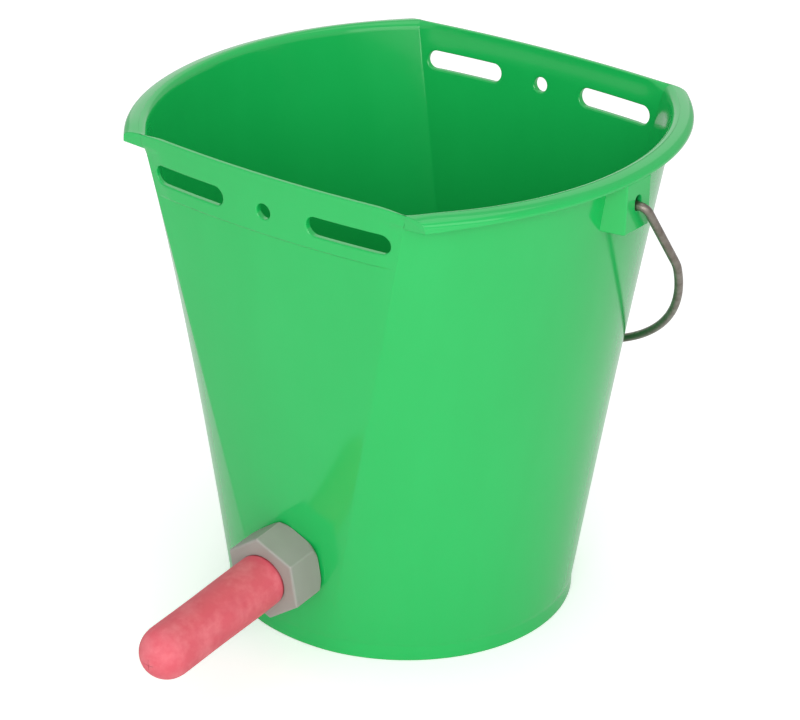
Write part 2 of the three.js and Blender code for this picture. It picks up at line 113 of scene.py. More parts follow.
def flared_edge(radius: float, beyond: float, steps: int) -> tuple[np.ndarray, np.ndarray]:
    """One end of a cutter that leaves a rounded edge on its opening.

    Args:
        radius: The rounding's radius.
        beyond: How far the cutter stands out of the face.
        steps: Points on the rounding.

    Returns:
        How much wider than the opening the cutter is, and how deep below the face.
    """
    grown, depth = quarter_round(radius, steps)
    return np.concatenate([[radius], grown]), np.concatenate([[-beyond], depth])


def rounded_path(points: list[tuple[float, float]], radii: list[float], steps: int = 5) -> np.ndarray:
    """A closed outline whose corners are drawn as short parabolas.

    Args:
        points: The corners.
        radii: How far each corner's curve starts from it.
        steps: Parts of each curve.

    Returns:
        The points of the outline.
    """
    corners = np.array(points, float)
    before = np.roll(corners, 1, axis=0) - corners
    after = np.roll(corners, -1, axis=0) - corners
    reach_before = np.minimum(np.array(radii) / np.linalg.norm(before, axis=1), 0.49)
    reach_after = np.minimum(np.array(radii) / np.linalg.norm(after, axis=1), 0.49)
    start = corners + before * reach_before[:, None]
    end = corners + after * reach_after[:, None]
    share = np.linspace(0.0, 1.0, steps + 1)[None, :, None]
    curve = (1 - share) ** 2 * start[:, None] + 2 * share * (1 - share) * corners[:, None]
    return (curve + share**2 * end[:, None]).reshape(-1, 2)


def skin(name: str, rings: np.ndarray, ends: Ends) -> bpy.types.Object:
    """A closed surface over rings of points: quads from each ring to the next.

    Args:
        name: The object's name.
        rings: Points in millimetres, as rings by points by 3.
        ends: How the two ends are closed.

    Returns:
        The object, its faces outwards and its doubled points joined.
    """
    rows, columns, _ = rings.shape
    points = rings.reshape(-1, 3)
    here = np.arange(columns)
    beside = np.roll(here, -1)
    steps = np.arange(rows if ends is Ends.JOINED else rows - 1)[:, None]
    low = steps * columns
    high = (steps + 1) % rows * columns
    quads = np.stack([low + here, low + beside, high + beside, high + here], -1).reshape(-1, 4)
    fans = np.empty((0, 3), int)
    if ends is Ends.POLES:
        first = len(points)
        last = (rows - 1) * columns
        points = np.vstack([points, rings[0].mean(0), rings[-1].mean(0)])
        foot = np.stack([np.full(columns, first), beside, here], -1)
        crown = np.stack([np.full(columns, first + 1), last + here, last + beside], -1)
        fans = np.vstack([foot, crown])
    triangles = np.vstack([quads[:, :3], quads[:, [0, 2, 3]], fans])
    corners = points[triangles]
    volume = np.einsum("ij,ij->i", corners[:, 0], np.cross(corners[:, 1], corners[:, 2])).sum()
    if volume < 0:
        quads = quads[:, ::-1]
        fans = fans[:, ::-1]
    mesh = bpy.data.meshes.new(name)
    mesh.from_pydata((points * MM).tolist(), [], quads.tolist() + fans.tolist())
    piece = bpy.data.objects.new(name, mesh)
    bpy.context.scene.collection.objects.link(piece)
    join_doubles(piece)
    return piece


def join_doubles(piece: bpy.types.Object, reach: float = 0.002) -> None:
    """Joins points that lie on each other, and drops the faces that this empties.

    Args:
        piece: The object.
        reach: Distance in millimetres.
    """
    work = bmesh.new()
    work.from_mesh(piece.data)
    bmesh.ops.remove_doubles(work, verts=work.verts, dist=reach * MM)
    work.to_mesh(piece.data)
    work.free()


def apply_modifiers(piece: bpy.types.Object) -> None:
    """Puts the result of an object's modifiers into its mesh.

    Args:
        piece: The object.
    """
    bpy.context.view_layer.update()
    graph = bpy.context.evaluated_depsgraph_get()
    made = bpy.data.meshes.new_from_object(piece.evaluated_get(graph))
    piece.modifiers.clear()
    piece.data = made


def combine(piece: bpy.types.Object, tools: list[tuple[Cut, bpy.types.Object]]) -> None:
    """Adds solids to a piece and cuts others out of it, in order, and then drops the tools.

    Args:
        piece: The solid that is worked on.
        tools: What each tool does, and the tool.
    """
    for cut, tool in tools:
        step = piece.modifiers.new(tool.name, "BOOLEAN")
        step.operation = cut.value
        step.solver = "MANIFOLD"
        step.object = tool
    apply_modifiers(piece)
    for _, tool in tools:
        bpy.data.objects.remove(tool)


def smooth_faces(piece: bpy.types.Object, angle: float = 32.0) -> None:
    """Smooth shading up to an angle, with each point's normal led by its larger faces.

    Args:
        piece: The object.
        angle: Sharper edges than this, in degrees, stay sharp.
    """
    piece.data.shade_smooth()
    piece.data.set_sharp_from_angle(angle=math.radians(angle))
    lead = piece.modifiers.new("lead", "WEIGHTED_NORMAL")
    lead.keep_sharp = True
    lead.weight = 60
    apply_modifiers(piece)


class Graph:
    """The nodes of one material, made and joined by short calls."""

    def __init__(self, name: str) -> None:
        """Starts a material with its output and one principled shader.

        Args:
            name: The material's name.
        """
        self.material = bpy.data.materials.new(name)
        self.material.use_nodes = True
        self.tree = self.material.node_tree
        self.tree.nodes.clear()
        self.out = self.tree.nodes.new("ShaderNodeOutputMaterial")
        self.shader = self.tree.nodes.new("ShaderNodeBsdfPrincipled")
        self.tree.links.new(self.shader.outputs["BSDF"], self.out.inputs["Surface"])
        self.place = self.tree.nodes.new("ShaderNodeTexCoord").outputs["Object"]

    def node(self, kind: str, inputs: dict[str | int, object], **settings: object) -> bpy.types.Node:
        """A node with its settings, its set values and its links.

        Args:
            kind: The node's type.
            inputs: A number, colour or output socket for each input.
            settings: The node's own properties.

        Returns:
            The node.
        """
        made = self.tree.nodes.new(kind)
        for key, value in settings.items():
            setattr(made, key, value)
        for key, value in inputs.items():
            if isinstance(value, bpy.types.NodeSocket):
                self.tree.links.new(value, made.inputs[key])
            else:
                made.inputs[key].default_value = value
        return made

    def stretched(self, scale: tuple[float, float, float]) -> bpy.types.NodeSocket:
        """The object's own coordinates, stretched along each axis."""
        return self.node("ShaderNodeMapping", {"Vector": self.place, "Scale": scale}).outputs[0]

    def noise(
        self,
        scale: float,
        detail: float = 3.0,
        roughness: float = 0.5,
        vector: bpy.types.NodeSocket | None = None,
    ) -> bpy.types.NodeSocket:
        """Cloudy noise on the object's own coordinates.

        Args:
            scale: Clouds in a metre.
            detail: Finer layers.
            roughness: Share of the finer layers.
            vector: Other coordinates.

        Returns:
            The noise, from 0 to 1.
        """
        inputs = {"Vector": vector or self.place, "Scale": scale, "Detail": detail, "Roughness": roughness}
        return self.node("ShaderNodeTexNoise", inputs).outputs[0]

    def span(
        self, value: bpy.types.NodeSocket, low: float, high: float, to_low: float, to_high: float
    ) -> bpy.types.NodeSocket:
        """A value moved from one range to another and held inside it.

        Args:
            value: The value.
            low: Start of its range.
            high: End of its range.
            to_low: Start of the new range.
            to_high: End of the new range.

        Returns:
            The moved value.
        """
        inputs = {0: value, 1: low, 2: high, 3: to_low, 4: to_high}
        return self.node("ShaderNodeMapRange", inputs, clamp=True).outputs[0]

    def blend(self, share: bpy.types.NodeSocket, first: object, second: object) -> bpy.types.NodeSocket:
        """Two colours mixed by a share.

        Args:
            share: 0 for the first, 1 for the second.
            first: A colour or an output socket.
            second: A colour or an output socket.

        Returns:
            The mixed colour.
        """
        return self.node("ShaderNodeMix", {0: share, 6: first, 7: second}, data_type="RGBA").outputs[2]

    def raised(
        self, height: bpy.types.NodeSocket, distance: float, normal: bpy.types.NodeSocket | None = None
    ) -> bpy.types.NodeSocket:
        """A normal bent by a height.

        Args:
            height: The height, from 0 to 1.
            distance: What a height of 1 stands for, in millimetres.
            normal: The normal to start from.

        Returns:
            The bent normal.
        """
        inputs = {"Height": height, "Distance": distance * MM, "Strength": 1.0}
        if normal is not None:
            inputs["Normal"] = normal
        return self.node("ShaderNodeBump", inputs).outputs[0]

    def worn_edges(self, radius: float) -> bpy.types.NodeSocket:
        """A normal that rounds sharp edges, as a mould leaves them.

        Args:
            radius: The rounding in millimetres.

        Returns:
            The rounded normal.
        """
        return self.node("ShaderNodeBevel", {"Radius": radius * MM}, samples=6).outputs[0]

    def edge_wear_and_highlight_share(self, radius: float, most: float) -> bpy.types.NodeSocket:
        """How much an edge is lightened, partly for wear and partly as a painted highlight: more where
        rounding by the radius would bend the normal further.

        Args:
            radius: The rounding in millimetres.
            most: The share on the sharpest edge.

        Returns:
            The share, from 0 to most.
        """
        full_wear_and_highlight = 0.88
        no_wear_or_highlight = 0.995
        plain = self.node("ShaderNodeNewGeometry", {}).outputs["Normal"]
        inputs = {0: self.worn_edges(radius), 1: plain}
        same = self.node("ShaderNodeVectorMath", inputs, operation="DOT_PRODUCT").outputs["Value"]
        return self.span(same, full_wear_and_highlight, no_wear_or_highlight, most, 0.0)

    def finish(self, **sockets: object) -> bpy.types.Material:
        """Links or sets the shader's sockets.

        Args:
            sockets: Socket names, with _ for a space, and their values.

        Returns:
            The material.
        """
        for key, value in sockets.items():
            target = self.shader.inputs[key.replace("_", " ")]
            if isinstance(value, bpy.types.NodeSocket):
                self.tree.links.new(value, target)
            else:
                target.default_value = value
        return self.material


def tint(red: int, green: int, blue: int) -> tuple[float, float, float, float]:
    """A screen colour from 0 to 255 as the linear colour that a shader takes."""
    screen = np.array([red, green, blue]) / 255.0
    linear = np.where(screen > 0.04045, ((screen + 0.055) / 1.055) ** 2.4, screen / 12.92)
    return (float(linear[0]), float(linear[1]), float(linear[2]), 1.0)


@dataclass(frozen=True)
class MouldedPlastic:
    """Moulded plastic: even colour with faint flow marks, a fine grain and soft edges.

    Scales are in clouds to a metre, and heights and radii in millimetres.
    """

    name: str
    colour: tuple[float, float, float, float]
    streak: tuple[float, float, float, float]
    scuff_and_edge_highlight: tuple[float, float, float, float]
    gloss: float = 0.38
    glow: float = 0.12
    edge: float = 0.5
    index: float = 1.49
    edge_wear_and_highlight: float = 0.0
    edge_wear_and_highlight_radius: float = 1.3
    cloud_scale: float = 9.0
    flow_scale: float = 30.0
    scuff_scale: float = 240.0
    scuff_patch_scale: float = 16.0
    scuff_share: float = 0.12
    scuff_roughness: float = 0.06
    haze_scale: float = 70.0
    grain_scale: float = 1500.0
    grain_height: float = 0.004
    wave_scale: float = 38.0
    wave_height: float = 0.02

    def material(self) -> bpy.types.Material:
        """Cloudy streaks tint the colour, and grain, slow waves and rare scuffs break the gloss.

        Returns:
            The material.
        """
        graph = Graph(self.name)
        clouds = graph.noise(self.cloud_scale, 4.0, 0.55)
        flow = graph.noise(self.flow_scale, 3.0, 0.6, graph.stretched((1.0, 1.0, 0.12)))
        mixed = graph.node("ShaderNodeMath", {0: clouds, 1: flow}, operation="MULTIPLY").outputs[0]
        base = graph.blend(graph.span(mixed, 0.16, 0.36, 0.0, 1.0), self.colour, self.streak)
        marks = graph.noise(self.scuff_scale, 6.0, 0.7, graph.stretched((1.0, 1.0, 0.25)))
        patches = graph.noise(self.scuff_patch_scale, 2.0, 0.5)
        rare = graph.node(
            "ShaderNodeMath",
            {0: graph.span(marks, 0.66, 0.76, 0.0, 1.0), 1: graph.span(patches, 0.52, 0.66, 0.0, 1.0)},
            operation="MULTIPLY",
        ).outputs[0]
        base = graph.blend(graph.span(rare, 0.0, 1.0, 0.0, self.scuff_share), base, self.scuff_and_edge_highlight)
        # Edges are lightened towards the scuff colour where the rounded normal bends furthest: partly
        # wear, partly a painted highlight along the edges.
        if self.edge_wear_and_highlight > 0:
            base = graph.blend(graph.edge_wear_and_highlight_share(self.edge_wear_and_highlight_radius, self.edge_wear_and_highlight), base, self.scuff_and_edge_highlight)
        haze = graph.noise(self.haze_scale, 4.0, 0.6)
        rough = graph.span(haze, 0.3, 0.7, 0.85 * self.gloss, 1.2 * self.gloss)
        inputs = {0: rare, 1: self.scuff_roughness, 2: rough}
        scuffed = graph.node("ShaderNodeMath", inputs, operation="MULTIPLY_ADD").outputs[0]
        grains = graph.noise(self.grain_scale, 2.0, 0.5)
        grain = graph.raised(grains, self.grain_height, graph.worn_edges(self.edge))
        wave = graph.raised(graph.noise(self.wave_scale, 2.0, 0.4), self.wave_height, grain)
        return graph.finish(
            Base_Color=base,
            Roughness=scuffed,
            Normal=wave,
            IOR=self.index,
            Subsurface_Weight=self.glow,
            Subsurface_Radius=(0.5, 1.0, 0.4),
            Subsurface_Scale=0.003,
        )


@dataclass(frozen=True)
class Rubber:
    """Soft rubber: a mottled, chalky skin with a dull sheen.

    Scales are in clouds to a metre, and heights and radii in millimetres.
    """

    name: str
    colour: tuple[float, float, float, float]
    bloom: tuple[float, float, float, float]
    deep: tuple[float, float, float, float]
    roughness: float = 0.62
    edge: float = 0.4
    mottle_scale: float = 95.0
    bloom_share: float = 0.6
    pool_scale: float = 55.0
    pool_share: float = 0.35
    skin_scale: float = 900.0
    skin_height: float = 0.02
    lump_scale: float = 130.0
    lump_height: float = 0.07

    def material(self) -> bpy.types.Material:
        """Pale bloom and deeper patches mottle the colour over a fine lumpy skin.

        Returns:
            The material.
        """
        graph = Graph(self.name)
        mottle = graph.noise(self.mottle_scale, 5.0, 0.62)
        bloom = graph.span(mottle, 0.42, 0.66, 0.0, self.bloom_share)
        base = graph.blend(bloom, self.colour, self.bloom)
        pools = graph.noise(self.pool_scale, 3.0, 0.5, graph.stretched((1.3, 0.8, 1.1)))
        base = graph.blend(graph.span(pools, 0.5, 0.72, 0.0, self.pool_share), base, self.deep)
        rough = graph.span(mottle, 0.3, 0.7, self.roughness - 0.08, self.roughness + 0.1)
        skin_noise = graph.noise(self.skin_scale, 3.0, 0.6)
        fine = graph.raised(skin_noise, self.skin_height, graph.worn_edges(self.edge))
        lumps = graph.raised(graph.noise(self.lump_scale, 3.0, 0.5), self.lump_height, fine)
        return graph.finish(
            Base_Color=base,
            Roughness=rough,
            Normal=lumps,
            IOR=1.45,
            Subsurface_Weight=0.12,
            Subsurface_Radius=(1.0, 0.3, 0.25),
            Subsurface_Scale=0.002,
        )


@dataclass(frozen=True)
class DrawnSteel:
    """Bare drawn steel wire: dull, slightly brown, with fine pits.

    Scales are in clouds to a metre, and heights in millimetres.
    """

    name: str
    colour: tuple[float, float, float, float]
    stain: tuple[float, float, float, float]
    roughness: float = 0.4
    stain_scale: float = 140.0
    haze_scale: float = 420.0
    pit_scale: float = 1400.0
    pit_height: float = 0.025
    wave_scale: float = 260.0
    wave_height: float = 0.05

    def material(self) -> bpy.types.Material:
        """Stains tint the metal, and pits and slow waves break its shine.

        Returns:
            The material.
        """
        graph = Graph(self.name)
        stains = graph.noise(self.stain_scale, 5.0, 0.65)
        base = graph.blend(graph.span(stains, 0.4, 0.68, 0.0, 1.0), self.colour, self.stain)
        haze = graph.noise(self.haze_scale, 4.0, 0.6)
        rough = graph.span(haze, 0.3, 0.7, self.roughness - 0.09, self.roughness + 0.12)
        pits = graph.raised(graph.noise(self.pit_scale, 4.0, 0.65), self.pit_height)
        waves = graph.raised(graph.noise(self.wave_scale, 2.0, 0.5), self.wave_height, pits)
        return graph.finish(Base_Color=base, Roughness=rough, Normal=waves, Metallic=1.0)


GREEN = MouldedPlastic(
    "green_plastic",
    tint(25, 182, 87),
    tint(28, 185, 90),
    tint(80, 196, 122),
    gloss=0.13,
    glow=0.0,
    index=1.56,
)
# The grey nut's edges are lightened: partly wear, partly a painted highlight along its edges.
GREY = MouldedPlastic(
    "grey_plastic",
    tint(149, 147, 140),
    tint(158, 157, 150),
    tint(194, 193, 187),
    gloss=0.5,
    glow=0.03,
    edge=0.6,
    edge_wear_and_highlight=0.75,
)
WHITE = MouldedPlastic(
    "white_plastic",
    tint(232, 232, 226),
    tint(240, 240, 236),
    tint(250, 250, 250),
    gloss=0.4,
    glow=0.1,
    edge=0.2,
)
PINK = Rubber("teat_rubber", tint(222, 92, 106), tint(236, 132, 140), tint(204, 72, 88))
BLACK = Rubber("seal_rubber", tint(40, 40, 41), tint(62, 62, 63), tint(28, 28, 29), roughness=0.7)
STEEL = DrawnSteel("bail_steel", tint(146, 138, 130), tint(122, 112, 103))


def dress(
    piece: bpy.types.Object, material: bpy.types.Material, body: str, slot: str, *nodes: str
) -> None:
    """Gives a piece its material, its body, its slot and the nodes that it stands for.

    Args:
        piece: The object.
        material: Its one material.
        body: The body that it rides on.
        slot: The record's material slot; not used.
        nodes: The nodes that it replaces.
    """
    piece.data.materials.clear()
    piece.data.materials.append(material)
    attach(piece, body)
    if nodes:
        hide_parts(*nodes)
    log.info("%s: %d faces on body %s", piece.name, len(piece.data.polygons), body)


@dataclass
class Pail:
    """The moulded pail: two lipped arcs and two slotted flats over a round foot.

    Its skin is one grid: a column is a place along the rim, and a ring goes once round the pail.
    Along each arc and each flat a column's share runs from -1 to 1, and a drop is a depth
    below the rim.
    """

    height: float = 265.0
    base_radius: float = 91.2
    rim_half_width: float = 124.9
    side_arc_half_length: float = 147.0
    flat_half_width: float = 79.8
    flat_bow: float = 5.3
    flat_base_half_angle: float = math.radians(12.6)
    wall: float = 2.5
    foot_height: float = 8.5
    foot_inset: float = 0.3
    foot_edge: float = 0.8
    floor_top: float = 6.0
    floor_fillet: float = 5.0
    lip_reach: float = 8.3
    lip_depth: float = 4.8
    lip_end_depth: float = 8.3
    lip_skin: float = 2.2
    crown_share: float = 0.76
    lip_foot: float = 0.5
    ceiling_fall: float = 0.8
    skirt_draft: float = 0.3
    rim_edge: float = 0.5
    arc_edge: float = 3.5
    crown_power: float = 2.1
    crown_end_power: float = 3.4
    crown_steps: int = 18
    edge_steps: int = 5
    plate_start: float = 0.5
    plate_ease: tuple[float, float] = (1.0, 3.0)
    plug_shares: tuple[float, float, float] = (1.0, 0.9824, 0.979)
    open_share: float = 0.966
    corner_dip: float = 0.8
    flat_dip_reach: float = 9.0
    arc_dip_reach: float = 12.0
    flat_inner: float = 1.3
    band_height: float = 30.5
    band_rise: float = 1.14
    band_fade: float = 14.0
    band_corner: float = 3.0
    thin_edge: float = 13.0
    crease: float = 0.75
    crease_top: float = 254.0
    crease_run: float = 60.0
    inner_crease: float = 0.45
    inner_crease_start: float = 10.0
    inner_crease_run: float = 70.0
    slot_length: float = 45.6
    slot_height: float = 10.0
    slot_offset: float = 48.0
    slot_drop: float = 19.0
    slot_edge: float = 0.8
    cutter_reach: float = 3.0
    hole_diameter: float = 8.0
    ear_half_width: float = 10.5
    ear_flare: float = 2.6
    ear_drop: float = 30.0
    ear_skin: float = 2.5
    ear_edge: float = 0.7
    ear_hole_drop: float = 16.0
    ear_hole: tuple[float, float] = (5.4, 8.0)
    ear_hole_edge: float = 0.5
    hub_radius: float = 14.0
    foot_ring: float = 6.0
    rib_width: float = 3.0
    rib_count: int = 8
    pocket_depth: float = 3.0
    arc_steps: int = 140
    flat_steps: int = 64
    arc: np.ndarray = field(init=False)
    share: np.ndarray = field(init=False)
    side: np.ndarray = field(init=False)

    def __post_init__(self) -> None:
        """Lays out the columns: one arc, the back flat, the other arc and the front flat."""
        plug = -np.array(self.plug_shares)
        middle = np.linspace(-self.open_share, self.open_share, self.arc_steps - 2 * len(plug))
        arc = np.concatenate([plug, middle, -plug[::-1]])
        flat = np.linspace(-1.0, 1.0, self.flat_steps)
        self.share = np.concatenate([arc, flat, arc, flat])
        kinds = [np.ones(len(arc), bool), np.zeros(len(flat), bool)]
        self.arc = np.concatenate(kinds * 2)
        half = len(arc) + len(flat)
        self.side = np.concatenate([np.ones(half), -np.ones(half)])

    @property
    def corner_angle(self) -> float:
        """The angle on the ellipse at which an arc meets a flat."""
        return math.acos(self.flat_half_width / self.rim_half_width)

    @property
    def corner_y(self) -> float:
        """Distance of the corners from the middle, along Y."""
        return self.side_arc_half_length * math.sin(self.corner_angle)

    @property
    def flat_taper(self) -> float:
        """How far a flat leans out for each unit of height."""
        return (self.corner_y + self.flat_bow - self.base_radius) / self.height

    @property
    def side_taper(self) -> float:
        """How far an arc leans out for each unit of height."""
        return (self.rim_half_width - self.base_radius) / self.height

    @property
    def ear_face(self) -> float:
        """The outer face of an ear, along X."""
        return self.rim_half_width + self.lip_reach

    def outlines(self, heights: np.ndarray) -> np.ndarray:
        """The outside at each height: straight lines from the round base to the rim's outline.

        Args:
            heights: One height for each ring and column, as rings by columns.

        Returns:
            The points, as rings by columns by 2.
        """
        turn = self.share * self.corner_angle
        span = math.pi / 2 - self.flat_base_half_angle
        arc_x = self.rim_half_width * np.cos(turn)
        arc_y = self.side_arc_half_length * np.sin(turn)
        rim_arc = np.stack([arc_x, arc_y], -1)
        bow = self.corner_y + self.flat_bow * (1 - self.share**2)
        rim_flat = np.stack([-self.share * self.flat_half_width, bow], -1)
        flat_turn = math.pi / 2 + self.share * self.flat_base_half_angle
        base_turn = np.where(self.arc, self.share * span, flat_turn)
        base = self.base_radius * np.stack([np.cos(base_turn), np.sin(base_turn)], -1)
        rim = np.where(self.arc[:, None], rim_arc, rim_flat)
        share = (heights / self.height)[:, :, None]
        return (base * (1 - share) + rim * share) * self.side[None, :, None]

    def drawn_in(self, outline: np.ndarray, inset: np.ndarray) -> np.ndarray:
        """Outlines moved inwards, each corner along its mitre.

        Args:
            outline: Points, as rings by columns by 2.
            inset: The distance for each ring and column.

        Returns:
            The moved points.
        """
        arc_count = self.arc_steps
        half = arc_count + self.flat_steps
        doubled = np.array([arc_count, half - 1, half + arc_count, 2 * half - 1])
        twin = np.array([arc_count - 1, half, half + arc_count - 1, 0])
        kept = np.setdiff1d(np.arange(2 * half), doubled)
        bare = outline[:, kept]
        before = bare - np.roll(bare, 1, axis=1)
        after = np.roll(bare, -1, axis=1) - bare
        inward_before = np.stack([-before[..., 1], before[..., 0]], -1)
        inward_after = np.stack([-after[..., 1], after[..., 0]], -1)
        inward_before /= np.linalg.norm(inward_before, axis=-1, keepdims=True)
        inward_after /= np.linalg.norm(inward_after, axis=-1, keepdims=True)
        meet = 1 + (inward_before * inward_after).sum(-1, keepdims=True)
        mitre = np.zeros_like(outline)
        mitre[:, kept] = (inward_before + inward_after) / meet
        mitre[:, doubled] = mitre[:, twin]
        return outline + mitre * inset[..., None]

    @property
    def fade(self) -> np.ndarray:
        """How fully each column takes part in the raised bands: 0 at the corners and on the arcs."""
        beside = (1 - np.abs(self.share)) * self.flat_half_width / self.band_fade
        return np.where(self.arc, 0.0, smooth_step(beside))

    @property
    def plug(self) -> np.ndarray:
        """The columns of an arc whose lip is solid: at its two ends, and over the ear."""
        way = np.abs(self.share)
        ear = math.asin(self.ear_half_width / self.side_arc_half_length) / self.corner_angle
        solid_end = min(self.plug_shares) - 0.001
        return self.arc & ((way > solid_end) | (way < ear - 0.005))

    @property
    def beside(self) -> np.ndarray:
        """About how far each column is from its corner, along the rim."""
        length = np.where(self.arc, self.side_arc_half_length * self.corner_angle, self.flat_half_width)
        return (1 - np.abs(self.share)) * length

    @property
    def dip(self) -> np.ndarray:
        """How much lower the top edge is at each column: it dips at the two front corners."""
        reach = np.where(self.arc, self.arc_dip_reach, self.flat_dip_reach)
        front = np.where(self.arc, self.side * self.share < 0, self.side < 0)
        return np.where(front, self.corner_dip * np.exp(-((self.beside / reach) ** 2)), 0.0)

    def band(self, drop: np.ndarray) -> np.ndarray:
        """How far the slotted bands stand out: full on a flat, fading at its corners and foot.

        Args:
            drop: Depth below the rim for each ring and column.

        Returns:
            The rise for each ring and column.
        """
        foot = smooth_step((self.band_height + self.band_rise - drop) / self.band_rise)
        near = np.where(self.arc, np.exp(-((self.beside / self.band_corner) ** 2)), 1.0)
        return self.band_rise * foot * np.maximum(self.fade, near * self.under_lip(drop))

    def under_lip(self, drop: np.ndarray) -> np.ndarray:
        """How fully the band's rise is kept beside a lip: it eases away at the lip's deepest edge."""
        below, run = self.plate_ease
        return smooth_step((self.lip_end_depth + below - drop) / run)

    def end_plane(self, drop: np.ndarray) -> np.ndarray:
        """Distance along Y of the plane in which the lips end, at a depth below the rim."""
        return self.corner_y + self.band_rise * self.under_lip(drop) - self.flat_taper * drop

    def wall_rings(self) -> np.ndarray:
        """The outside from the middle of the underside up to the lips' deepest edge.

        The levels lie closer together round the foot and where the bands start.

        Returns:
            The points, as rings by columns by 3.
        """
        foot = self.foot_inset
        inward, upward = quarter_round(self.foot_edge, self.edge_steps)
        above_foot = foot * np.array([0.75, 0.4, 0.1])
        foot_insets = np.concatenate([foot + inward, [foot] * 3, above_foot])
        foot_levels = np.concatenate([upward, [3.0, 5.5, 8.0], [8.7, 9.4, 10.2]])
        step = self.height - self.band_height
        low = np.linspace(12.0, step - 3.0, 50)
        fine = step + np.linspace(-1.9, 0.7, 8)
        high = np.linspace(step + 2.4, self.height - self.lip_end_depth, 9)
        levels = np.concatenate([foot_levels, low, fine, high])
        insets = np.concatenate([foot_insets, np.zeros(len(low) + len(fine) + len(high))])
        columns = len(self.share)
        heights = np.repeat(np.maximum(levels, self.foot_height)[:, None], columns, axis=1)
        rise = self.band(self.height - heights)
        ring = self.drawn_in(self.outlines(heights), insets[:, None] - rise)
        softer = np.clip((self.crease_top - levels) / self.crease_run, 0, 1)
        ring = soften_rings(ring, self.crease * softer)
        wall = np.dstack([ring, np.repeat(levels[:, None], columns, axis=1)])
        underside = np.linspace(0.1, 0.9, 6)[:, None, None] * wall[0][None]
        return np.concatenate([underside, wall])

    def lip_drop(self, angle: np.ndarray, fixed: np.ndarray, deep: np.ndarray) -> np.ndarray:
        """Depth below the rim of a line along the lip, which is deepest at its ends.

        Args:
            angle: Angle on the ellipse.
            fixed: The part of the depth that stays the same.
            deep: The share of the lip's own depth that is added to it.

        Returns:
            The depth: the lip's own grows with the fourth power of the way to the corner.
        """
        grown = (self.lip_end_depth - self.lip_depth) * (angle / self.corner_angle) ** 4
        return fixed + deep * (self.lip_depth + grown)

    def lip_end(self, reach: np.ndarray, fixed: np.ndarray, deep: np.ndarray) -> np.ndarray:
        """The angle at which a line along the lip meets the plane that the lip ends in.

        Args:
            reach: Distance outside the arc for each line.
            fixed: The part of its depth that stays the same.
            deep: The share of the lip's own depth that is added to it.

        Returns:
            The angles, found by halving, and none beyond the corner.
        """
        low = np.full(reach.shape, 0.4)
        high = np.full(reach.shape, self.corner_angle)
        for _ in range(40):
            middle = (low + high) / 2
            y = self.beside_arc(middle, reach)[1]
            beyond = y > self.end_plane(self.lip_drop(middle, fixed, deep))
            high = np.where(beyond, middle, high)
            low = np.where(beyond, low, middle)
        return (low + high) / 2

    def crown_fall(self, out: np.ndarray, power: np.ndarray | float) -> np.ndarray:
        """How far the crown has fallen at a share of its width: an oval, fuller for a high power."""
        return 1 - (1 - np.minimum(out, 1.0) ** power) ** (1 / power)

    @property
    def crown_places(self) -> np.ndarray:
        """Shares of the crown's width from its outer face in to the start of its rolled inner edge."""
        rolled = self.arc_edge / (self.lip_reach + self.wall)
        turn = np.linspace(0, np.pi / 2, self.crown_steps)
        return 1 - (1 - rolled) * (1 - np.cos(turn))

    def beside_arc(self, angle: np.ndarray, reach: np.ndarray) -> tuple[np.ndarray, np.ndarray]:
        """Points a reach outside an arc of the rim, square to it.

        Args:
            angle: Angle on the ellipse.
            reach: Distance outside it.

        Returns:
            X and Y.
        """
        x = self.rim_half_width * np.cos(angle)
        y = self.side_arc_half_length * np.sin(angle)
        out = np.stack([x / self.rim_half_width**2, y / self.side_arc_half_length**2])
        out /= np.linalg.norm(out, axis=0)
        return x + out[0] * reach, y + out[1] * reach

    def lip_section(self, solid: bool) -> np.ndarray:
        """The section of a lip, square to its arc.

        It runs out under the lip's ceiling, down inside its skirt, round its bottom edge, up its
        short face and over its crown, a quarter of a full-shouldered oval. A solid part has a
        flat bottom instead of the ceiling and the skirt's inside.

        Args:
            solid: Whether the part is solid.

        Returns:
            Rows of reach outside the arc, fixed drop, and share of the lip's own depth.
        """
        inner = self.lip_reach - self.lip_skin
        if solid:
            under = np.column_stack([np.linspace(0, inner, 6), np.zeros(6), np.ones(6)])
        else:
            fall = np.linspace(self.lip_skin, self.lip_skin + self.ceiling_fall, 4)
            ceiling = np.column_stack([np.linspace(0, inner / 2, 4), fall, np.zeros(4)])
            skirt = [[inner, 0.0, self.crown_share], [inner, -self.skirt_draft, 1.0]]
            under = np.vstack([ceiling, skirt])
        bottom = [[inner + self.skirt_draft, 0.0, 1.0]]
        inward, upward = quarter_round(self.lip_foot, self.edge_steps)
        foot = np.column_stack([self.lip_reach - inward, -upward, np.ones(len(inward))])
        out = self.crown_places
        reach = (self.lip_reach + self.wall) * out - self.wall
        fall = self.crown_share * self.crown_fall(out, self.crown_end_power)
        crown = np.column_stack([reach, np.zeros(len(out)), fall])
        return np.vstack([under, bottom, foot, crown])

    def arc_lips(self) -> np.ndarray:
        """The turned-down lips, carried along each arc up to the plates that close their ends.

        A plate lies in one plane with the flat beside it. The crown is fuller towards the
        lips' ends, by the sixth power of the way along the arc.

        Returns:
            The points, as rings by columns by 3, of use on the arcs' columns only.
        """
        plain = self.lip_section(solid=False)
        filled = self.lip_section(solid=True)

        def chosen(open_part: np.ndarray, solid_part: np.ndarray) -> np.ndarray:
            """One value for each ring and column, from the open section or from the solid one."""
            return np.where(self.plug[None], solid_part[:, None], open_part[:, None])

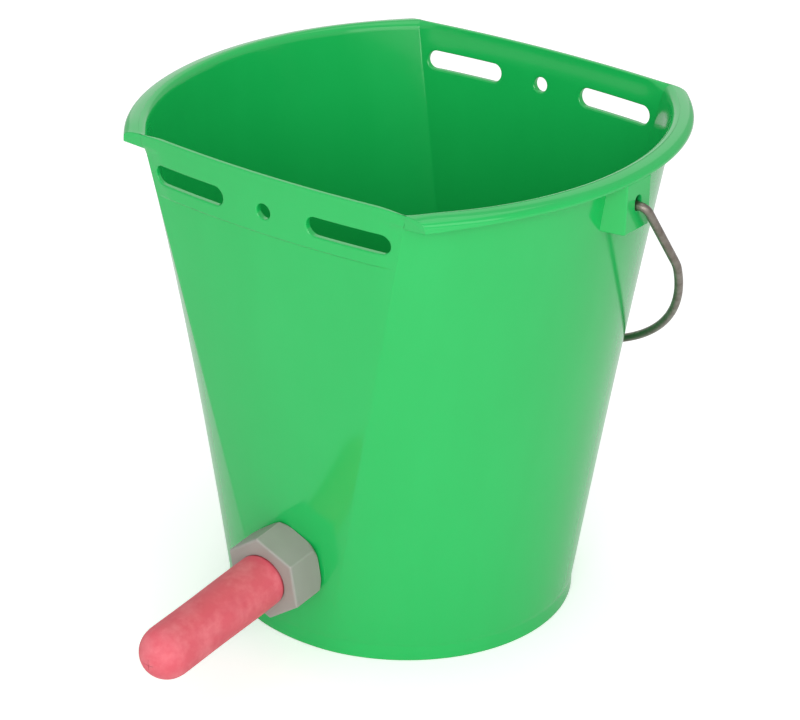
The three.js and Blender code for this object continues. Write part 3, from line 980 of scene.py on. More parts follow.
        reach, fixed, deep = (chosen(plain[:, place], filled[:, place]) for place in range(3))
        angle = self.share[None] * chosen(self.lip_end(*plain.T), self.lip_end(*filled.T))
        fuller = (self.crown_end_power - self.crown_power) * np.abs(self.share) ** 6
        out = self.crown_places[:, None]
        fall = self.crown_fall(out, self.crown_power + fuller[None])
        deep[-len(out):] = self.crown_share * fall
        drop = self.lip_drop(angle, fixed, deep)
        x, y = self.beside_arc(angle, reach)
        last = self.arc & (np.abs(self.share) == 1.0)
        closed = last[None] & (reach >= 0)
        x = np.where(closed, np.maximum(x, self.flat_half_width + self.plate_start), x)
        y = np.where(closed, np.sign(y) * np.maximum(np.abs(y), self.end_plane(drop)), y)
        depth = self.lip_drop(angle, 0.0, 1.0)
        drop += self.dip * np.clip(1 - drop / (self.crown_share * depth), 0, 1)
        rings = np.stack([x * self.side, y * self.side, self.height - drop], -1)
        rings[0] = np.where(last[:, None], self.neck_rings()[-1], rings[0])
        return rings

    def flat_edges(self, rings: int) -> np.ndarray:
        """The thin top edges of the flats.

        Args:
            rings: How many rings they take, which is as many as the lips have.

        Returns:
            The points, as rings by columns by 3, of use on the flats' columns only.
        """
        below_top, inward = quarter_round(self.rim_edge, self.edge_steps)
        upright = rings - len(inward)
        straight = np.linspace(self.lip_skin - 0.1, self.rim_edge, upright, endpoint=False)
        drop = np.concatenate([straight, below_top])
        inset = np.concatenate([np.zeros(upright), inward])
        heights = np.repeat((self.height - drop)[:, None], len(self.share), axis=1)
        rise = self.band(self.height - heights)
        outline = self.drawn_in(self.outlines(heights), inset[:, None] - rise)
        dip = self.dip * (1 - drop / self.lip_end_depth)[:, None]
        return np.dstack([outline, heights - dip])

    def lip_rings(self) -> np.ndarray:
        """The lips along the arcs and the thin edges along the flats, in the same rings."""
        arcs = self.arc_lips()
        return np.where(self.arc[None, :, None], arcs, self.flat_edges(len(arcs)))

    def neck_rings(self) -> np.ndarray:
        """The wall behind the lips, from their deepest edge up to the ceiling or a solid part.

        Returns:
            The points, as rings by columns by 3.
        """
        depth = self.lip_drop(self.share * self.corner_angle, 0.0, 1.0)
        end = np.where(self.plug, depth, self.lip_skin)
        share = np.linspace(0, 1, 6)[1:, None]
        drop = self.lip_end_depth * (1 - share) + end * share
        heights = self.height - drop
        outline = self.drawn_in(self.outlines(heights), -self.band(drop))
        dip = np.where(self.arc, 0.0, self.dip) * (1 - drop / self.lip_end_depth)
        return np.dstack([outline, heights - dip])

    def thickness(self, drop: np.ndarray, fade: np.ndarray) -> np.ndarray:
        """How far the inside lies behind the plain outline: less at a flat's top edge.

        Args:
            drop: Depth below the rim.
            fade: How fully the place takes part in the raised band.

        Returns:
            The distance.
        """
        near_top = 1 - smooth_step((drop - self.rim_edge) / self.thin_edge)
        return self.wall - (self.wall - self.flat_inner) * fade * near_top

    def inside_rings(self) -> np.ndarray:
        """The inside: the rim's inner edge, rolled further along the arcs, the wall and the floor.

        Returns:
            The points, as rings by columns by 3.
        """
        inward, below_top = quarter_round(1.0, 7)
        edge = self.rim_edge + (self.arc_edge - self.rim_edge) * (1 - self.fade[None])
        deep = self.thin_edge + 2.0
        top = np.linspace(0, 1, 12)[1:, None]
        wall_end = self.height - self.floor_top - self.floor_fillet
        turn = np.linspace(0, np.pi / 2, 8)[1:, None]
        straight = np.linspace(deep, wall_end, 60)[1:, None]
        lower = np.concatenate([straight, wall_end + self.floor_fillet * np.sin(turn)])
        lower = np.repeat(lower, len(self.share), axis=1)
        drop = np.concatenate([edge * below_top[:, None], edge * (1 - top) + deep * top, lower])
        extra = np.zeros(drop.shape)
        extra[: len(inward)] = -edge * inward[:, None]
        extra[-len(turn):] = self.floor_fillet * (1 - np.cos(turn))
        heights = self.height - drop
        inset = self.thickness(drop, self.fade[None]) + extra
        ring = self.drawn_in(self.outlines(heights), inset)
        way_down = (drop.mean(axis=1) - self.inner_crease_start) / self.inner_crease_run
        softer = self.inner_crease + (1 - self.inner_crease) * smooth_step(way_down)
        dip = self.dip * (1 - smooth_step(drop / deep))
        rounded = soften_rings(np.dstack([ring, heights - dip]), self.crease * softer)
        middle = np.array([0.0, 0.0, self.floor_top])
        shares = np.linspace(0.92, 0.08, 8)[:, None, None]
        return np.concatenate([rounded, middle + (rounded[-1][None] - middle) * shares])

    def flat_surface(self, x: np.ndarray, z: np.ndarray) -> tuple[np.ndarray, np.ndarray]:
        """How far out the two faces of a flat are at places on it.

        Args:
            x: Places across it.
            z: Heights.

        Returns:
            The outer and the inner distance from the middle.
        """
        share = z / self.height
        base_half = self.base_radius * math.sin(self.flat_base_half_angle)
        half = share * self.flat_half_width + (1 - share) * base_half
        across = np.clip(x / half, -1, 1)
        rim = self.corner_y + self.flat_bow * (1 - across**2)
        middle = share * rim + (1 - share) * self.base_radius * np.cos(across * self.flat_base_half_angle)
        fade = smooth_step((1 - np.abs(across)) * self.flat_half_width / self.band_fade)
        return middle + self.band_rise * fade, middle - self.thickness(self.height - z, fade)

    def slot_cutter(
        self, name: str, length: float, height: float, x: float, side: float
    ) -> bpy.types.Object:
        """A cutter for a round-ended slot: its outline carried through a flat, flared at both faces.

        Args:
            name: The cutter's name.
            length: The slot's length.
            height: The slot's height.
            x: The slot's middle.
            side: 1 for the back flat and -1 for the front one.

        Returns:
            The cutter.
        """
        half = (length - height) / 2
        turn = np.linspace(-np.pi / 2, np.pi / 2, 25)
        run = np.linspace(half, -half, 15)[1:-1] if half > 0 else np.empty(0)
        end = np.full(len(turn), half)
        centres = np.concatenate([end, run, -end, run[::-1]])
        up = np.full(len(run), np.pi / 2)
        normals = np.concatenate([turn, up, turn + np.pi, -up])
        grown, depth = flared_edge(self.slot_edge, self.cutter_reach, 6)
        radius = height / 2 + np.concatenate([grown, grown[::-1]])[:, None]
        across = x + centres[None] + radius * np.cos(normals)[None]
        level = self.height - self.slot_drop + radius * np.sin(normals)[None]
        outer, inner = self.flat_surface(across, level)
        rows = len(grown)
        far = np.concatenate([outer[:rows] - depth[:, None], inner[rows:] + depth[::-1][:, None]])
        return skin(name, np.stack([across, side * far, level], -1), Ends.POLES)

    def ear_block(
        self, name: str, side: float, inset: float, root: float, low: float, high: float
    ) -> bpy.types.Object:
        """A block with rounded edges that flares towards the wall and follows its lean.

        Args:
            name: The block's name.
            side: 1 for the right ear and -1 for the left one.
            inset: How far its three free sides are drawn in.
            root: How far inside the wall's outside its inner side lies.
            low: Its bottom.
            high: Its top.

        Returns:
            The block.
        """
        edge = self.ear_edge
        inward, along = quarter_round(edge, self.edge_steps)
        drawn = np.concatenate([inward, along])
        level = np.concatenate([low + along, high - inward])
        wall = self.base_radius + self.side_taper * level - root
        corner = np.linspace(0, np.pi / 2, 6)
        half = self.ear_half_width - inset
        face = self.ear_face - inset
        cos = np.concatenate([np.cos(corner), np.cos(corner)[::-1]])
        sin = np.concatenate([np.sin(corner), -np.sin(corner)[::-1]])
        sign = np.repeat([1.0, -1.0], len(corner))
        x_out = (face - drawn[:, None] - edge) + edge * cos[None]
        y_out = (half - drawn[:, None] - edge) * sign[None] + edge * sin[None]
        x_root = np.repeat(wall[:, None], 2, axis=1)
        foot = half + self.ear_flare - drawn
        y_root = np.stack([-foot, foot], -1)
        first = len(corner)
        x = np.concatenate([x_out[:, :first], x_root[:, ::-1], x_out[:, first:]], axis=1)
        y = np.concatenate([y_out[:, :first], y_root[:, ::-1], y_out[:, first:]], axis=1)
        z = np.repeat(level[:, None], x.shape[1], axis=1)
        return skin(name, np.stack([side * x, side * y, z], -1), Ends.POLES)

    def ear_hole_cutter(self, name: str, side: float) -> bpy.types.Object:
        """A cutter for the upright slot that the wire turns in, flared at both faces of the ear.

        Args:
            name: The cutter's name.
            side: 1 for the right ear and -1 for the left one.

        Returns:
            The cutter.
        """
        width, tall = self.ear_hole
        turn = np.linspace(0, np.pi, 21)
        normals = np.concatenate([turn, turn + np.pi])
        centres = np.repeat([(tall - width) / 2, (width - tall) / 2], len(turn))
        grown, depth = flared_edge(self.ear_hole_edge, 2.0, self.edge_steps)
        radius = width / 2 + np.concatenate([grown, grown[::-1]])[:, None]
        y = radius * np.cos(normals)[None]
        z = self.height - self.ear_hole_drop + centres[None] + radius * np.sin(normals)[None]
        reach = np.concatenate([self.ear_face - depth, self.ear_face - self.ear_skin + depth[::-1]])
        x = np.repeat(reach[:, None], len(normals), axis=1)
        return skin(name, np.stack([side * x, side * y, z], -1), Ends.POLES)

    def ear(self, name: str, side: float) -> bpy.types.Object:
        """One hollow ear, open below, with a flared hole for the wire.

        Args:
            name: The ear's name.
            side: 1 for the right ear and -1 for the left one.

        Returns:
            The ear, before it joins the pail.
        """
        bottom = self.height - self.ear_drop
        top = self.height - self.lip_depth
        block = self.ear_block(name, side, 0.0, 1.6, bottom, top + self.lip_foot)
        hollow = self.ear_block(name + "_hollow", side, self.ear_skin, 4.0, bottom - 4.0, top)
        hole = self.ear_hole_cutter(name + "_hole", side)
        combine(block, [(Cut.REMOVE, hollow), (Cut.REMOVE, hole)])
        return block

    def pocket(self, index: int) -> bpy.types.Object:
        """A cutter for one pocket between two ribs under the floor.

        Args:
            index: Which pocket.

        Returns:
            The cutter.
        """
        half = self.rib_width / 2
        reach = self.base_radius - self.foot_inset - self.foot_ring
        start = (index + 0.5) * 2 * np.pi / self.rib_count
        end = start + 2 * np.pi / self.rib_count
        far = math.asin(half / reach)
        near = math.asin(half / self.hub_radius)
        outer = np.linspace(start + far, end - far, 28)
        inner = np.linspace(end - near, start + near, 12)
        radius = np.repeat([reach, self.hub_radius], [len(outer), len(inner)])
        turn = np.concatenate([outer, inner])
        flat = np.stack([radius * np.cos(turn), radius * np.sin(turn)], -1)
        levels = (-2.0, self.pocket_depth)
        rings = np.stack([np.column_stack([flat, np.full(len(turn), level)]) for level in levels])
        return skin(f"pocket_{index}", rings, Ends.POLES)

    def build(self, fitting: TeatFitting) -> bpy.types.Object:
        """The whole pail in one mesh.

        Args:
            fitting: The teat fitting, which gives the hole and the pad round it.

        Returns:
            The pail.
        """
        stretches = [self.wall_rings(), self.neck_rings(), self.lip_rings(), self.inside_rings()]
        pail = skin("pail", np.concatenate(stretches), Ends.POLES)
        tools = [(Cut.ADD, fitting.pad()), (Cut.REMOVE, fitting.wall_hole())]
        for side, word in ((1.0, "right"), (-1.0, "left")):
            tools.append((Cut.ADD, self.ear(f"ear_{word}", side)))
        for side, word in ((-1.0, "front"), (1.0, "back")):
            for place in (-self.slot_offset, self.slot_offset):
                name = f"slot_{word}_{int(place)}"
                slot = self.slot_cutter(name, self.slot_length, self.slot_height, place, side)
                tools.append((Cut.REMOVE, slot))
            hole = self.slot_cutter(f"hole_{word}", self.hole_diameter, self.hole_diameter, 0.0, side)
            tools.append((Cut.REMOVE, hole))
        for index in range(self.rib_count):
            tools.append((Cut.REMOVE, self.pocket(index)))
        combine(pail, tools)
        smooth_faces(pail)
        dress(pail, GREEN.material(), "bucket", "green_plastic", "bucket_shell")
        return pail


@dataclass
class TeatFitting:
    """The fitting low on the front flat: flanged stem, washer, hex nut and rubber teat.

    Heights along the fitting are measured outwards from the outside of the wall.
    """

    pail: Pail
    height: float = 49.5
    hole_radius: float = 16.5
    pad_radius: float = 22.0
    pad_rise: float = 1.2
    seal_radius: float = 20.5
    seal_thickness: float = 2.0
    flange_radius: float = 20.0
    flange_thickness: float = 3.0
    stem_length: float = 14.0
    chamber_radius: float = 8.2
    inlet_radius: float = 4.5
    cage_radius: float = 10.2
    cage_thickness: float = 2.4
    ball_radius: float = 7.0
    ball_travel: float = 4.0
    across_flats: float = 40.4
    nut_length: float = 20.7
    nut_web: float = 3.4
    nut_edge: float = 1.1
    nut_corner: float = 0.8
    nut_chamfer: float = 2.0
    nut_turn: float = math.radians(6.4)
    teat_radius: float = 13.95
    neck_radius: float = 12.9
    teat_length: float = 86.4
    teat_wall: float = 3.9
    teat_flange: float = 15.9
    slit_length: float = 6.0
    slit_width: float = 0.3
    gap: float = 0.3

    @property
    def lean(self) -> float:
        """How far the fitting's axis points down, which is the lean of the flat."""
        return math.atan(self.pail.flat_taper)

    def placed(self, across: np.ndarray, up: np.ndarray, out: np.ndarray) -> np.ndarray:
        """Points of the fitting in the frame.

        Args:
            across: Distance along X.
            up: Distance square to the axis, upwards.
            out: Height along the axis.

        Returns:
            The points.
        """
        wall = self.pail.base_radius + self.pail.flat_taper * self.height
        origin = np.array([0.0, -wall, self.height])
        axis = np.array([0.0, -math.cos(self.lean), -math.sin(self.lean)])
        rise = np.array([0.0, -math.sin(self.lean), math.cos(self.lean)])
        right = np.array([1.0, 0.0, 0.0])
        return origin + across[..., None] * right + up[..., None] * rise + out[..., None] * axis

    def turned(self, name: str, profile: np.ndarray, steps: int = 128) -> bpy.types.Object:
        """A ring turned about the fitting's axis from a closed outline.

        Args:
            name: The piece's name.
            profile: Radii and heights.
            steps: Points round it.

        Returns:
            The piece.
        """
        turn = np.linspace(0, 2 * np.pi, steps, endpoint=False)
        radius = profile[:, :1]
        out = np.repeat(profile[:, 1:], steps, axis=1)
        rings = self.placed(radius * np.cos(turn), radius * np.sin(turn), out)
        return skin(name, rings, Ends.JOINED)

    def pad(self) -> bpy.types.Object:
        """The raised pad inside the wall that the washer seals on.

        Returns:
            The pad, before it joins the pail.
        """
        face = -(self.pail.wall + self.pad_rise)
        middle = -self.pail.wall / 2
        inner = self.hole_radius - 2.0
        corners = [(inner, middle), (inner, face), (self.pad_radius, face), (self.pad_radius, middle)]
        return self.turned("pad", rounded_path(corners, [0.01, 0.01, 0.8, 0.01]))

    def wall_hole(self) -> bpy.types.Object:
        """A cutter for the hole in the wall.

        Returns:
            The cutter.
        """
        depth = -(self.pail.wall + self.pad_rise) - 1.0
        turn = np.linspace(0, 2 * np.pi, 128, endpoint=False)
        out = np.repeat(np.array([[3.0], [depth]]), len(turn), axis=1)
        across = np.repeat((self.hole_radius * np.cos(turn))[None], 2, axis=0)
        up = np.repeat((self.hole_radius * np.sin(turn))[None], 2, axis=0)
        return skin("wall_hole", self.placed(across, up, out), Ends.POLES)

    def build_stem(self) -> bpy.types.Object:
        """The flanged stem with its inlet, cone seat, chamber and the rebate for the cage.

        Returns:
            The stem.
        """
        back = -(self.pail.wall + self.pad_rise + 2 * self.gap + self.seal_thickness)
        front = back - self.flange_thickness
        stem = self.hole_radius - self.gap
        rebate = self.stem_length - self.cage_thickness
        ball = self.ball_radius
        lowest = rebate - ball - self.ball_travel - (self.chamber_radius - ball - self.gap)
        tip = lowest - math.sqrt(2) * (ball + self.gap)
        corners = [
            (self.inlet_radius, front),
            (self.flange_radius, front),
            (self.flange_radius, back),
            (stem, back),
            (stem, self.stem_length),
            (self.cage_radius + self.gap, self.stem_length),
            (self.cage_radius + self.gap, rebate),
            (self.chamber_radius, rebate),
            (self.chamber_radius, tip + self.chamber_radius),
            (self.inlet_radius, tip + self.inlet_radius),
        ]
        radii = [0.8, 1.2, 0.5, 0.3, 0.6, 0.3, 0.2, 0.3, 0.3, 0.3]
        stem_piece = self.turned("valve_stem", rounded_path(corners, radii))
        smooth_faces(stem_piece, 38.0)
        dress(stem_piece, GREY.material(), "bucket", "grey_plastic", "valve_body")
        return stem_piece

    def build_seal(self) -> bpy.types.Object:
        """The washer between the flange and the pad.

        Returns:
            The washer.
        """
        top = -(self.pail.wall + self.pad_rise + self.gap)
        low = top - self.seal_thickness
        inner = self.hole_radius
        outer = self.seal_radius
        corners = [(inner, low), (outer, low), (outer, top), (inner, top)]
        seal = self.turned("washer", rounded_path(corners, [0.4] * 4))
        smooth_faces(seal, 38.0)
        dress(seal, BLACK.material(), "bucket", "seal_rubber", "flange_seal")
        return seal

    def hexagon(self, inset: np.ndarray, corner: float) -> tuple[np.ndarray, np.ndarray]:
        """Hexagons with rounded corners: a smaller hexagon's sides moved out by the corner's radius.

        Args:
            inset: How far each ring is drawn in.
            corner: The corners' radius.

        Returns:
            Distances along X and upwards, as rings by points.
        """
        middle = self.across_flats / 2 - inset[:, None] - corner
        flat_steps = 26
        arc_steps = 9
        side = np.arange(6)[:, None]
        direction = self.nut_turn + np.pi / 2 + np.pi / 6 + side * np.pi / 3
        along = np.linspace(-1, 1, flat_steps)[None] * np.tan(np.pi / 6)
        flat_x = np.cos(direction) - along * np.sin(direction)
        flat_y = np.sin(direction) + along * np.cos(direction)
        flat_nx = np.repeat(np.cos(direction), flat_steps, axis=1)
        flat_ny = np.repeat(np.sin(direction), flat_steps, axis=1)
        spread = np.linspace(0, np.pi / 3, arc_steps + 2)[1:-1][None]
        tip = direction + np.pi / 6
        arc_x = np.repeat(np.cos(tip), arc_steps, axis=1) / np.cos(np.pi / 6)
        arc_y = np.repeat(np.sin(tip), arc_steps, axis=1) / np.cos(np.pi / 6)
        arc_nx = np.cos(direction + spread)
        arc_ny = np.sin(direction + spread)
        x = np.concatenate([flat_x, arc_x], axis=1).reshape(-1)
        y = np.concatenate([flat_y, arc_y], axis=1).reshape(-1)
        nx = np.concatenate([flat_nx, arc_nx], axis=1).reshape(-1)
        ny = np.concatenate([flat_ny, arc_ny], axis=1).reshape(-1)
        return middle * x[None] + corner * nx[None], middle * y[None] + corner * ny[None]

    def build_nut(self) -> bpy.types.Object:
        """The nut: hexagons carried from its chamfered back to its round front edge, then its bore.

        The back chamfer is a cone: no point of the hexagon lies outside it. The smaller of the
        two distances from the axis is taken softly, by a high power of each.

        Returns:
            The nut.
        """
        back = self.gap
        front = back + self.nut_length
        chamfer = np.linspace(0, self.nut_chamfer + 0.5, 12)
        faces = np.linspace(4.5, self.nut_length - self.nut_edge, 8)
        rise = np.concatenate([chamfer, faces])
        behind, inward = quarter_round(self.nut_edge, 7)
        level = back + np.concatenate([rise, self.nut_length - behind[1:]])
        inset = np.concatenate([np.zeros(len(rise)), inward[1:]])
        x, y = self.hexagon(inset, self.nut_corner)
        reach = np.hypot(x, y)
        corner = self.across_flats / math.sqrt(3)
        cone = (corner - self.nut_chamfer + (level - back))[:, None]
        power = 60.0
        held = ((reach / corner) ** -power + (cone / corner) ** -power) ** (-1 / power) * corner
        x = x * held / reach
        y = y * held / reach
        bore = self.hole_radius + 0.4
        throat = self.neck_radius + self.gap
        web = front - self.nut_web
        bore_line = np.array([
            (throat + 0.9, front),
            (throat + 0.3, front - 0.3),
            (throat, front - 0.9),
            (throat, front - 2.0),
            (throat, web),
            (bore, web),
            (bore, web - 8.0),
            (bore, back),
        ])
        inner_radius, inner_level = bore_line.T
        turn = np.arctan2(y[0], x[0])
        inner_x = inner_radius[:, None] * np.cos(turn)[None]
        inner_y = inner_radius[:, None] * np.sin(turn)[None]
        across = np.concatenate([x, inner_x])
        up = np.concatenate([y, inner_y])
        out = np.repeat(np.concatenate([level, inner_level])[:, None], across.shape[1], axis=1)
        nut = skin("nut", self.placed(across, up, out), Ends.JOINED)
        smooth_faces(nut, 30.0)
        dress(nut, GREY.material(), "bucket", "grey_plastic", "teat_nut")
        return nut

    def build_teat(self) -> bpy.types.Object:
        """The hollow teat: a tube with a round, cross-slit tip and a flange behind the nut's web.

        Returns:
            The teat.
        """
        foot = self.stem_length + self.gap
        tip = self.gap + self.nut_length + self.teat_length
        centre = tip - self.teat_radius
        bore = self.teat_radius - self.teat_wall
        turn = np.linspace(0, np.pi / 2, 22)
        face = self.gap + self.nut_length
        rise = self.teat_radius - self.neck_radius
        tube = np.linspace(face + 3.0, centre, 44)
        swell = 0.1 * np.sin((tube - face) / 9.0) - 0.25 * smooth_step((tube - centre + 46.0) / 46.0)
        cap = self.teat_radius - 0.25
        neck = np.array([[self.neck_radius, foot + 3.0], [self.neck_radius, face - 0.5]])
        short, _ = quarter_round(rise, 9)
        _, ahead = quarter_round(1.5, 9)
        swollen = np.column_stack([self.neck_radius + rise - short, face + 0.1 + ahead])
        outer = np.vstack([neck, swollen, np.column_stack([self.teat_radius + swell, tube])])
        outer_cap = np.column_stack([cap * np.cos(turn), centre + self.teat_radius * np.sin(turn)])[1:-1]
        inner_cap = np.column_stack([bore * np.cos(turn), centre + bore * np.sin(turn)])[::-1][1:]
        inner = np.column_stack([np.full(12, bore), np.linspace(centre - 4.0, foot, 12)])
        rim = self.teat_flange
        flange = np.array([
            (rim - 0.4, foot),
            (rim, foot + 0.4),
            (rim, foot + 2.6),
            (rim - 0.4, foot + 3.0),
        ])
        pole_out = np.array([[0.0, tip]])
        pole_in = np.array([[0.0, centre + bore]])
        profile = np.vstack([flange, outer, outer_cap, pole_out, pole_in, inner_cap, inner])
        teat = self.turned("rubber_teat", profile, 96)
        half = self.slit_length / 2
        thin = self.slit_width / 2
        tools = []
        for name, wide, tall in (("slit_a", half, thin), ("slit_b", thin, half)):
            across = np.array([[-wide, wide, wide, -wide]] * 2)
            up = np.array([[-tall, -tall, tall, tall]] * 2)
            out = np.array([[centre + bore * 0.5] * 4, [tip + 2.0] * 4])
            tools.append((Cut.REMOVE, skin(name, self.placed(across, up, out), Ends.POLES)))
        combine(teat, tools)
        smooth_faces(teat, 40.0)
        dress(teat, PINK.material(), "bucket", "teat_rubber", "teat")
        return teat

    def dress_valve(self) -> None:
        """Gives the ball and its cage, which show only through the fitting, their plastic."""
        white = WHITE.material()
        for name in ("valve_ball", "ball_cage"):
            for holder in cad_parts[name].material_slots:
                holder.material = white
            log.info("%s: kept from the frame", name)


@dataclass
class BailHandle:
    """The wire bail, which leans on the back wall: legs, shoulders, an oval bow and hooked ends."""

    pail: Pail
    wire: float = 4.4
    leg_offset: float = 4.8
    leg_length: float = 42.0
    leg_spread: float = math.radians(1.6)
    shoulder_bend: float = 30.1
    shoulder_turn: float = math.radians(12.15)
    bow_share: float = 1.12
    outer_bend: float = 4.0
    hook_bend: float = 4.0
    hook_reach: float = 7.2
    hook_inset: float = 3.7
    axis_height: float = 247.5
    hang: float = math.radians(37.7202)
    end_cap: float = 0.9
    sides: int = 28

    def half_path(self) -> np.ndarray:
        """The centre line from the hooked end in the right ear to the lowest point of the bow.

        Returns:
            Distances along X and down from the axis.
        """
        spread = self.leg_spread
        leg_x = self.pail.ear_face + self.leg_offset
        hook_x = self.pail.ear_face - self.pail.ear_skin - self.hook_inset
        elbow_x = leg_x - self.outer_bend * math.cos(spread)
        top_down = self.outer_bend * (1 - math.sin(spread))
        foot_x = leg_x + self.leg_length * math.sin(spread)
        foot_down = top_down + self.leg_length * math.cos(spread)
        shoulder_x = foot_x - self.shoulder_bend * math.cos(spread)
        shoulder_down = foot_down + self.shoulder_bend * math.sin(spread)
        bow_from = math.atan(self.bow_share * math.tan(self.shoulder_turn))
        bow_end = shoulder_x + self.shoulder_bend * math.cos(self.shoulder_turn)
        bow_width = bow_end / math.cos(bow_from)
        bow_depth = self.bow_share * bow_width
        bow_down = shoulder_down + self.shoulder_bend * math.sin(self.shoulder_turn)
        bow_down -= bow_depth * math.sin(bow_from)

        def bend(
            x: float, down: float, wide: float, deep: float, start: float, end: float, steps: int
        ) -> np.ndarray:
            """Points on a part of an oval, from a start angle to an end angle."""
            turn = np.linspace(start, end, steps)
            return np.column_stack([x + wide * np.cos(turn), down + deep * np.sin(turn)])

        def run(start: tuple[float, float], end: tuple[float, float], steps: int) -> np.ndarray:
            """Points between two ends, without the ends."""
            return np.linspace(start, end, steps)[1:-1]

        hook = self.hook_bend
        outer = self.outer_bend
        round_bend = self.shoulder_bend
        return np.vstack([
            np.linspace((hook_x, self.hook_reach), (hook_x, hook), 5)[:-1],
            bend(hook_x + hook, hook, hook, hook, math.pi, 1.5 * math.pi, 12),
            run((hook_x + hook, 0.0), (elbow_x, 0.0), 6),
            bend(elbow_x, outer, outer, outer, -math.pi / 2, -spread, 16),
            run((leg_x, top_down), (foot_x, foot_down), 20),
            bend(shoulder_x, shoulder_down, round_bend, round_bend, -spread, self.shoulder_turn, 12),
            bend(0.0, bow_down, bow_width, bow_depth, bow_from, math.pi / 2, 150)[1:],
        ])

    def build(self) -> bpy.types.Object:
        """A round section carried along both halves of the centre line, with rounded ends.

        Returns:
            The bail.
        """
        half = self.half_path()
        path = np.vstack([half, (half * [-1.0, 1.0])[::-1][1:]])
        ahead = np.gradient(path, axis=0)
        ahead /= np.linalg.norm(ahead, axis=1, keepdims=True)
        beside = np.column_stack([-ahead[:, 1], ahead[:, 0]])
        radius = np.full(len(path), self.wire / 2)
        turn = np.linspace(0, np.pi / 2, 6)[:-1]
        cap = self.wire / 2 * np.sin(turn)
        beyond = self.end_cap * np.cos(turn)[:, None]
        first = path[0] - ahead[0] * beyond
        last = path[-1] + ahead[-1] * beyond
        path = np.vstack([first, path, last[::-1]])
        repeats = [len(turn) + 1] + [1] * (len(beside) - 2) + [len(turn) + 1]
        beside = np.repeat(beside, repeats, axis=0)
        radius = np.concatenate([cap, radius, cap[::-1]])
        spin = np.linspace(0, 2 * np.pi, self.sides, endpoint=False)
        flat = path[:, None] + beside[:, None] * (radius[:, None] * np.cos(spin))[..., None]
        proud = radius[:, None] * np.sin(spin)
        x = flat[..., 0]
        down = flat[..., 1]
        y = down * math.sin(self.hang) + proud * math.cos(self.hang)
        z = self.axis_height - down * math.cos(self.hang) + proud * math.sin(self.hang)
        wire = skin("bail_wire", np.stack([x, y, z], -1), Ends.POLES)
        smooth_faces(wire, 50.0)
        dress(wire, STEEL.material(), "bail", "bail_steel", "bail_handle")
        return wire


@dataclass(frozen=True)
class Lamp:
    """A square soft light that looks at the middle of the object."""

    name: str
    place: tuple[float, float, float]
    size: float
    power: float

    def build(self) -> None:
        """Hangs the light at its place, in metres."""
        data = bpy.data.lights.new(self.name, "AREA")
        data.size = self.size
        data.energy = self.power
        lamp = bpy.data.objects.new(self.name, data)
        lamp.location = self.place
        aim = Vector((0, 0, 0.13)) - lamp.location
        lamp.rotation_euler = aim.to_track_quat("-Z", "Y").to_euler()
        bpy.context.scene.collection.objects.link(lamp)


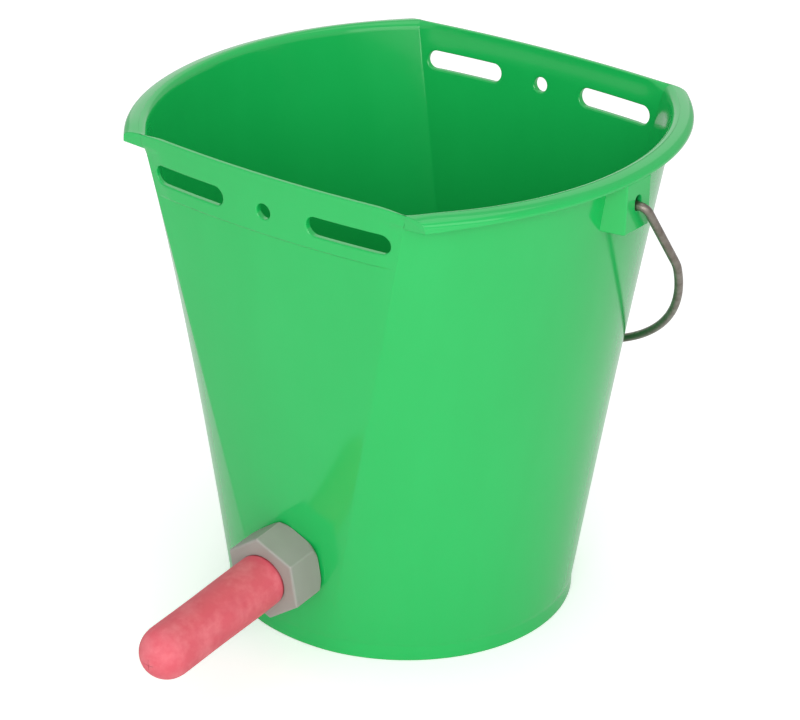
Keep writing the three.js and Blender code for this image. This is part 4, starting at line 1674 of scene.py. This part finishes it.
@dataclass
class Studio:
    """A pale floor, soft lights and the camera at the photograph's angle.

    Lamps stand in metres, the camera's distance and aim are in millimetres, its focal length
    and centre in pixels and its angles in degrees.
    """

    surround: float = 0.58
    floor_glow: float = 0.36
    lamps: tuple[Lamp, ...] = (
        Lamp("key", (1.5, -0.6, 1.0), 1.1, 5.2),
        Lamp("front", (0.1, -1.8, 1.0), 1.2, 2.3),
        Lamp("fill", (0.95, -1.55, 0.8), 1.0, 14.4),
        Lamp("top", (-0.1, 0.2, 1.9), 1.3, 4.6),
        Lamp("back", (-1.6, 2.2, 1.35), 2.5, 9.0),
    )
    azimuth: float = 36.0293
    elevation: float = 25.4992
    roll: float = 1.5849
    distance: float = 1386.61
    across: float = 0.3154
    up: float = 126.5243
    focal: float = 2667.26
    centre: tuple[float, float] = (407.1155, 358.7608)
    frame_size: tuple[int, int] = (800, 720)

    def build_floor(self) -> None:
        """A plain pale floor, whose own glow makes it near white and lights nothing else."""
        bpy.ops.mesh.primitive_plane_add(size=8.0)
        floor = bpy.context.object
        floor.name = "floor"
        graph = Graph("pale_floor")
        shade = graph.span(graph.noise(2.0, 2.0), 0.3, 0.7, 0.93, 0.95)
        colour = graph.node("ShaderNodeCombineColor", {0: shade, 1: shade, 2: shade}).outputs[0]
        floor.data.materials.append(graph.finish(
            Base_Color=colour,
            Roughness=0.9,
            Emission_Color=(1.0, 1.0, 1.0, 1.0),
            Emission_Strength=self.floor_glow,
        ))
        lit = bpy.data.collections.new("lit_by_floor")
        lit.objects.link(floor)
        floor.light_linking.receiver_collection = lit

    def build_lights(self) -> None:
        """The white surroundings and the lamps."""
        world = bpy.data.worlds.new("studio")
        bpy.context.scene.world = world
        world.use_nodes = True
        background = world.node_tree.nodes["Background"]
        background.inputs["Color"].default_value = (1.0, 1.0, 1.0, 1.0)
        background.inputs["Strength"].default_value = self.surround
        for lamp in self.lamps:
            lamp.build()

    def build_camera(self) -> None:
        """The camera: round the object by its angles, turned by its roll, with a long lens."""
        turn = math.radians(self.azimuth)
        rise = math.radians(self.elevation)
        lean = math.radians(self.roll)
        flat = math.cos(rise)
        back = np.array([math.sin(turn) * flat, -math.cos(turn) * flat, math.sin(rise)])
        level = np.array([math.cos(turn), math.sin(turn), 0.0])
        upright = np.cross(back, level)
        right = level * math.cos(lean) + upright * math.sin(lean)
        over = upright * math.cos(lean) - level * math.sin(lean)
        target = level * self.across + np.array([0.0, 0.0, self.up])
        data = bpy.data.cameras.new("photo_camera")
        width, height = self.frame_size
        data.sensor_width = 36.0
        data.lens = self.focal / width * 36.0
        data.shift_x = (width / 2 - self.centre[0]) / width
        data.shift_y = (self.centre[1] - height / 2) / width
        data.clip_start = 0.05
        data.clip_end = 30.0
        camera = bpy.data.objects.new("photo_camera", data)
        place = np.eye(4)
        place[:3, 0] = right
        place[:3, 1] = over
        place[:3, 2] = back
        place[:3, 3] = (target + back * self.distance) * MM
        camera.matrix_world = Matrix(place.tolist())
        bpy.context.scene.collection.objects.link(camera)
        bpy.context.scene.camera = camera

    def build(self) -> None:
        """Floor, lights, camera and the plain colour transform of a product photograph."""
        self.build_floor()
        self.build_lights()
        self.build_camera()
        bpy.context.scene.view_settings.view_transform = "Standard"


def main() -> None:
    """Builds the studio and each sub-assembly."""
    logging.basicConfig(level=logging.INFO, format="%(message)s")
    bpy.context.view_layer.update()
    Studio().build()
    pail = Pail()
    fitting = TeatFitting(pail)
    pail.build(fitting)
    fitting.build_stem()
    fitting.build_seal()
    fitting.build_nut()
    fitting.build_teat()
    fitting.dress_valve()
    BailHandle(pail).build()


if __name__ == "__main__":
    main()
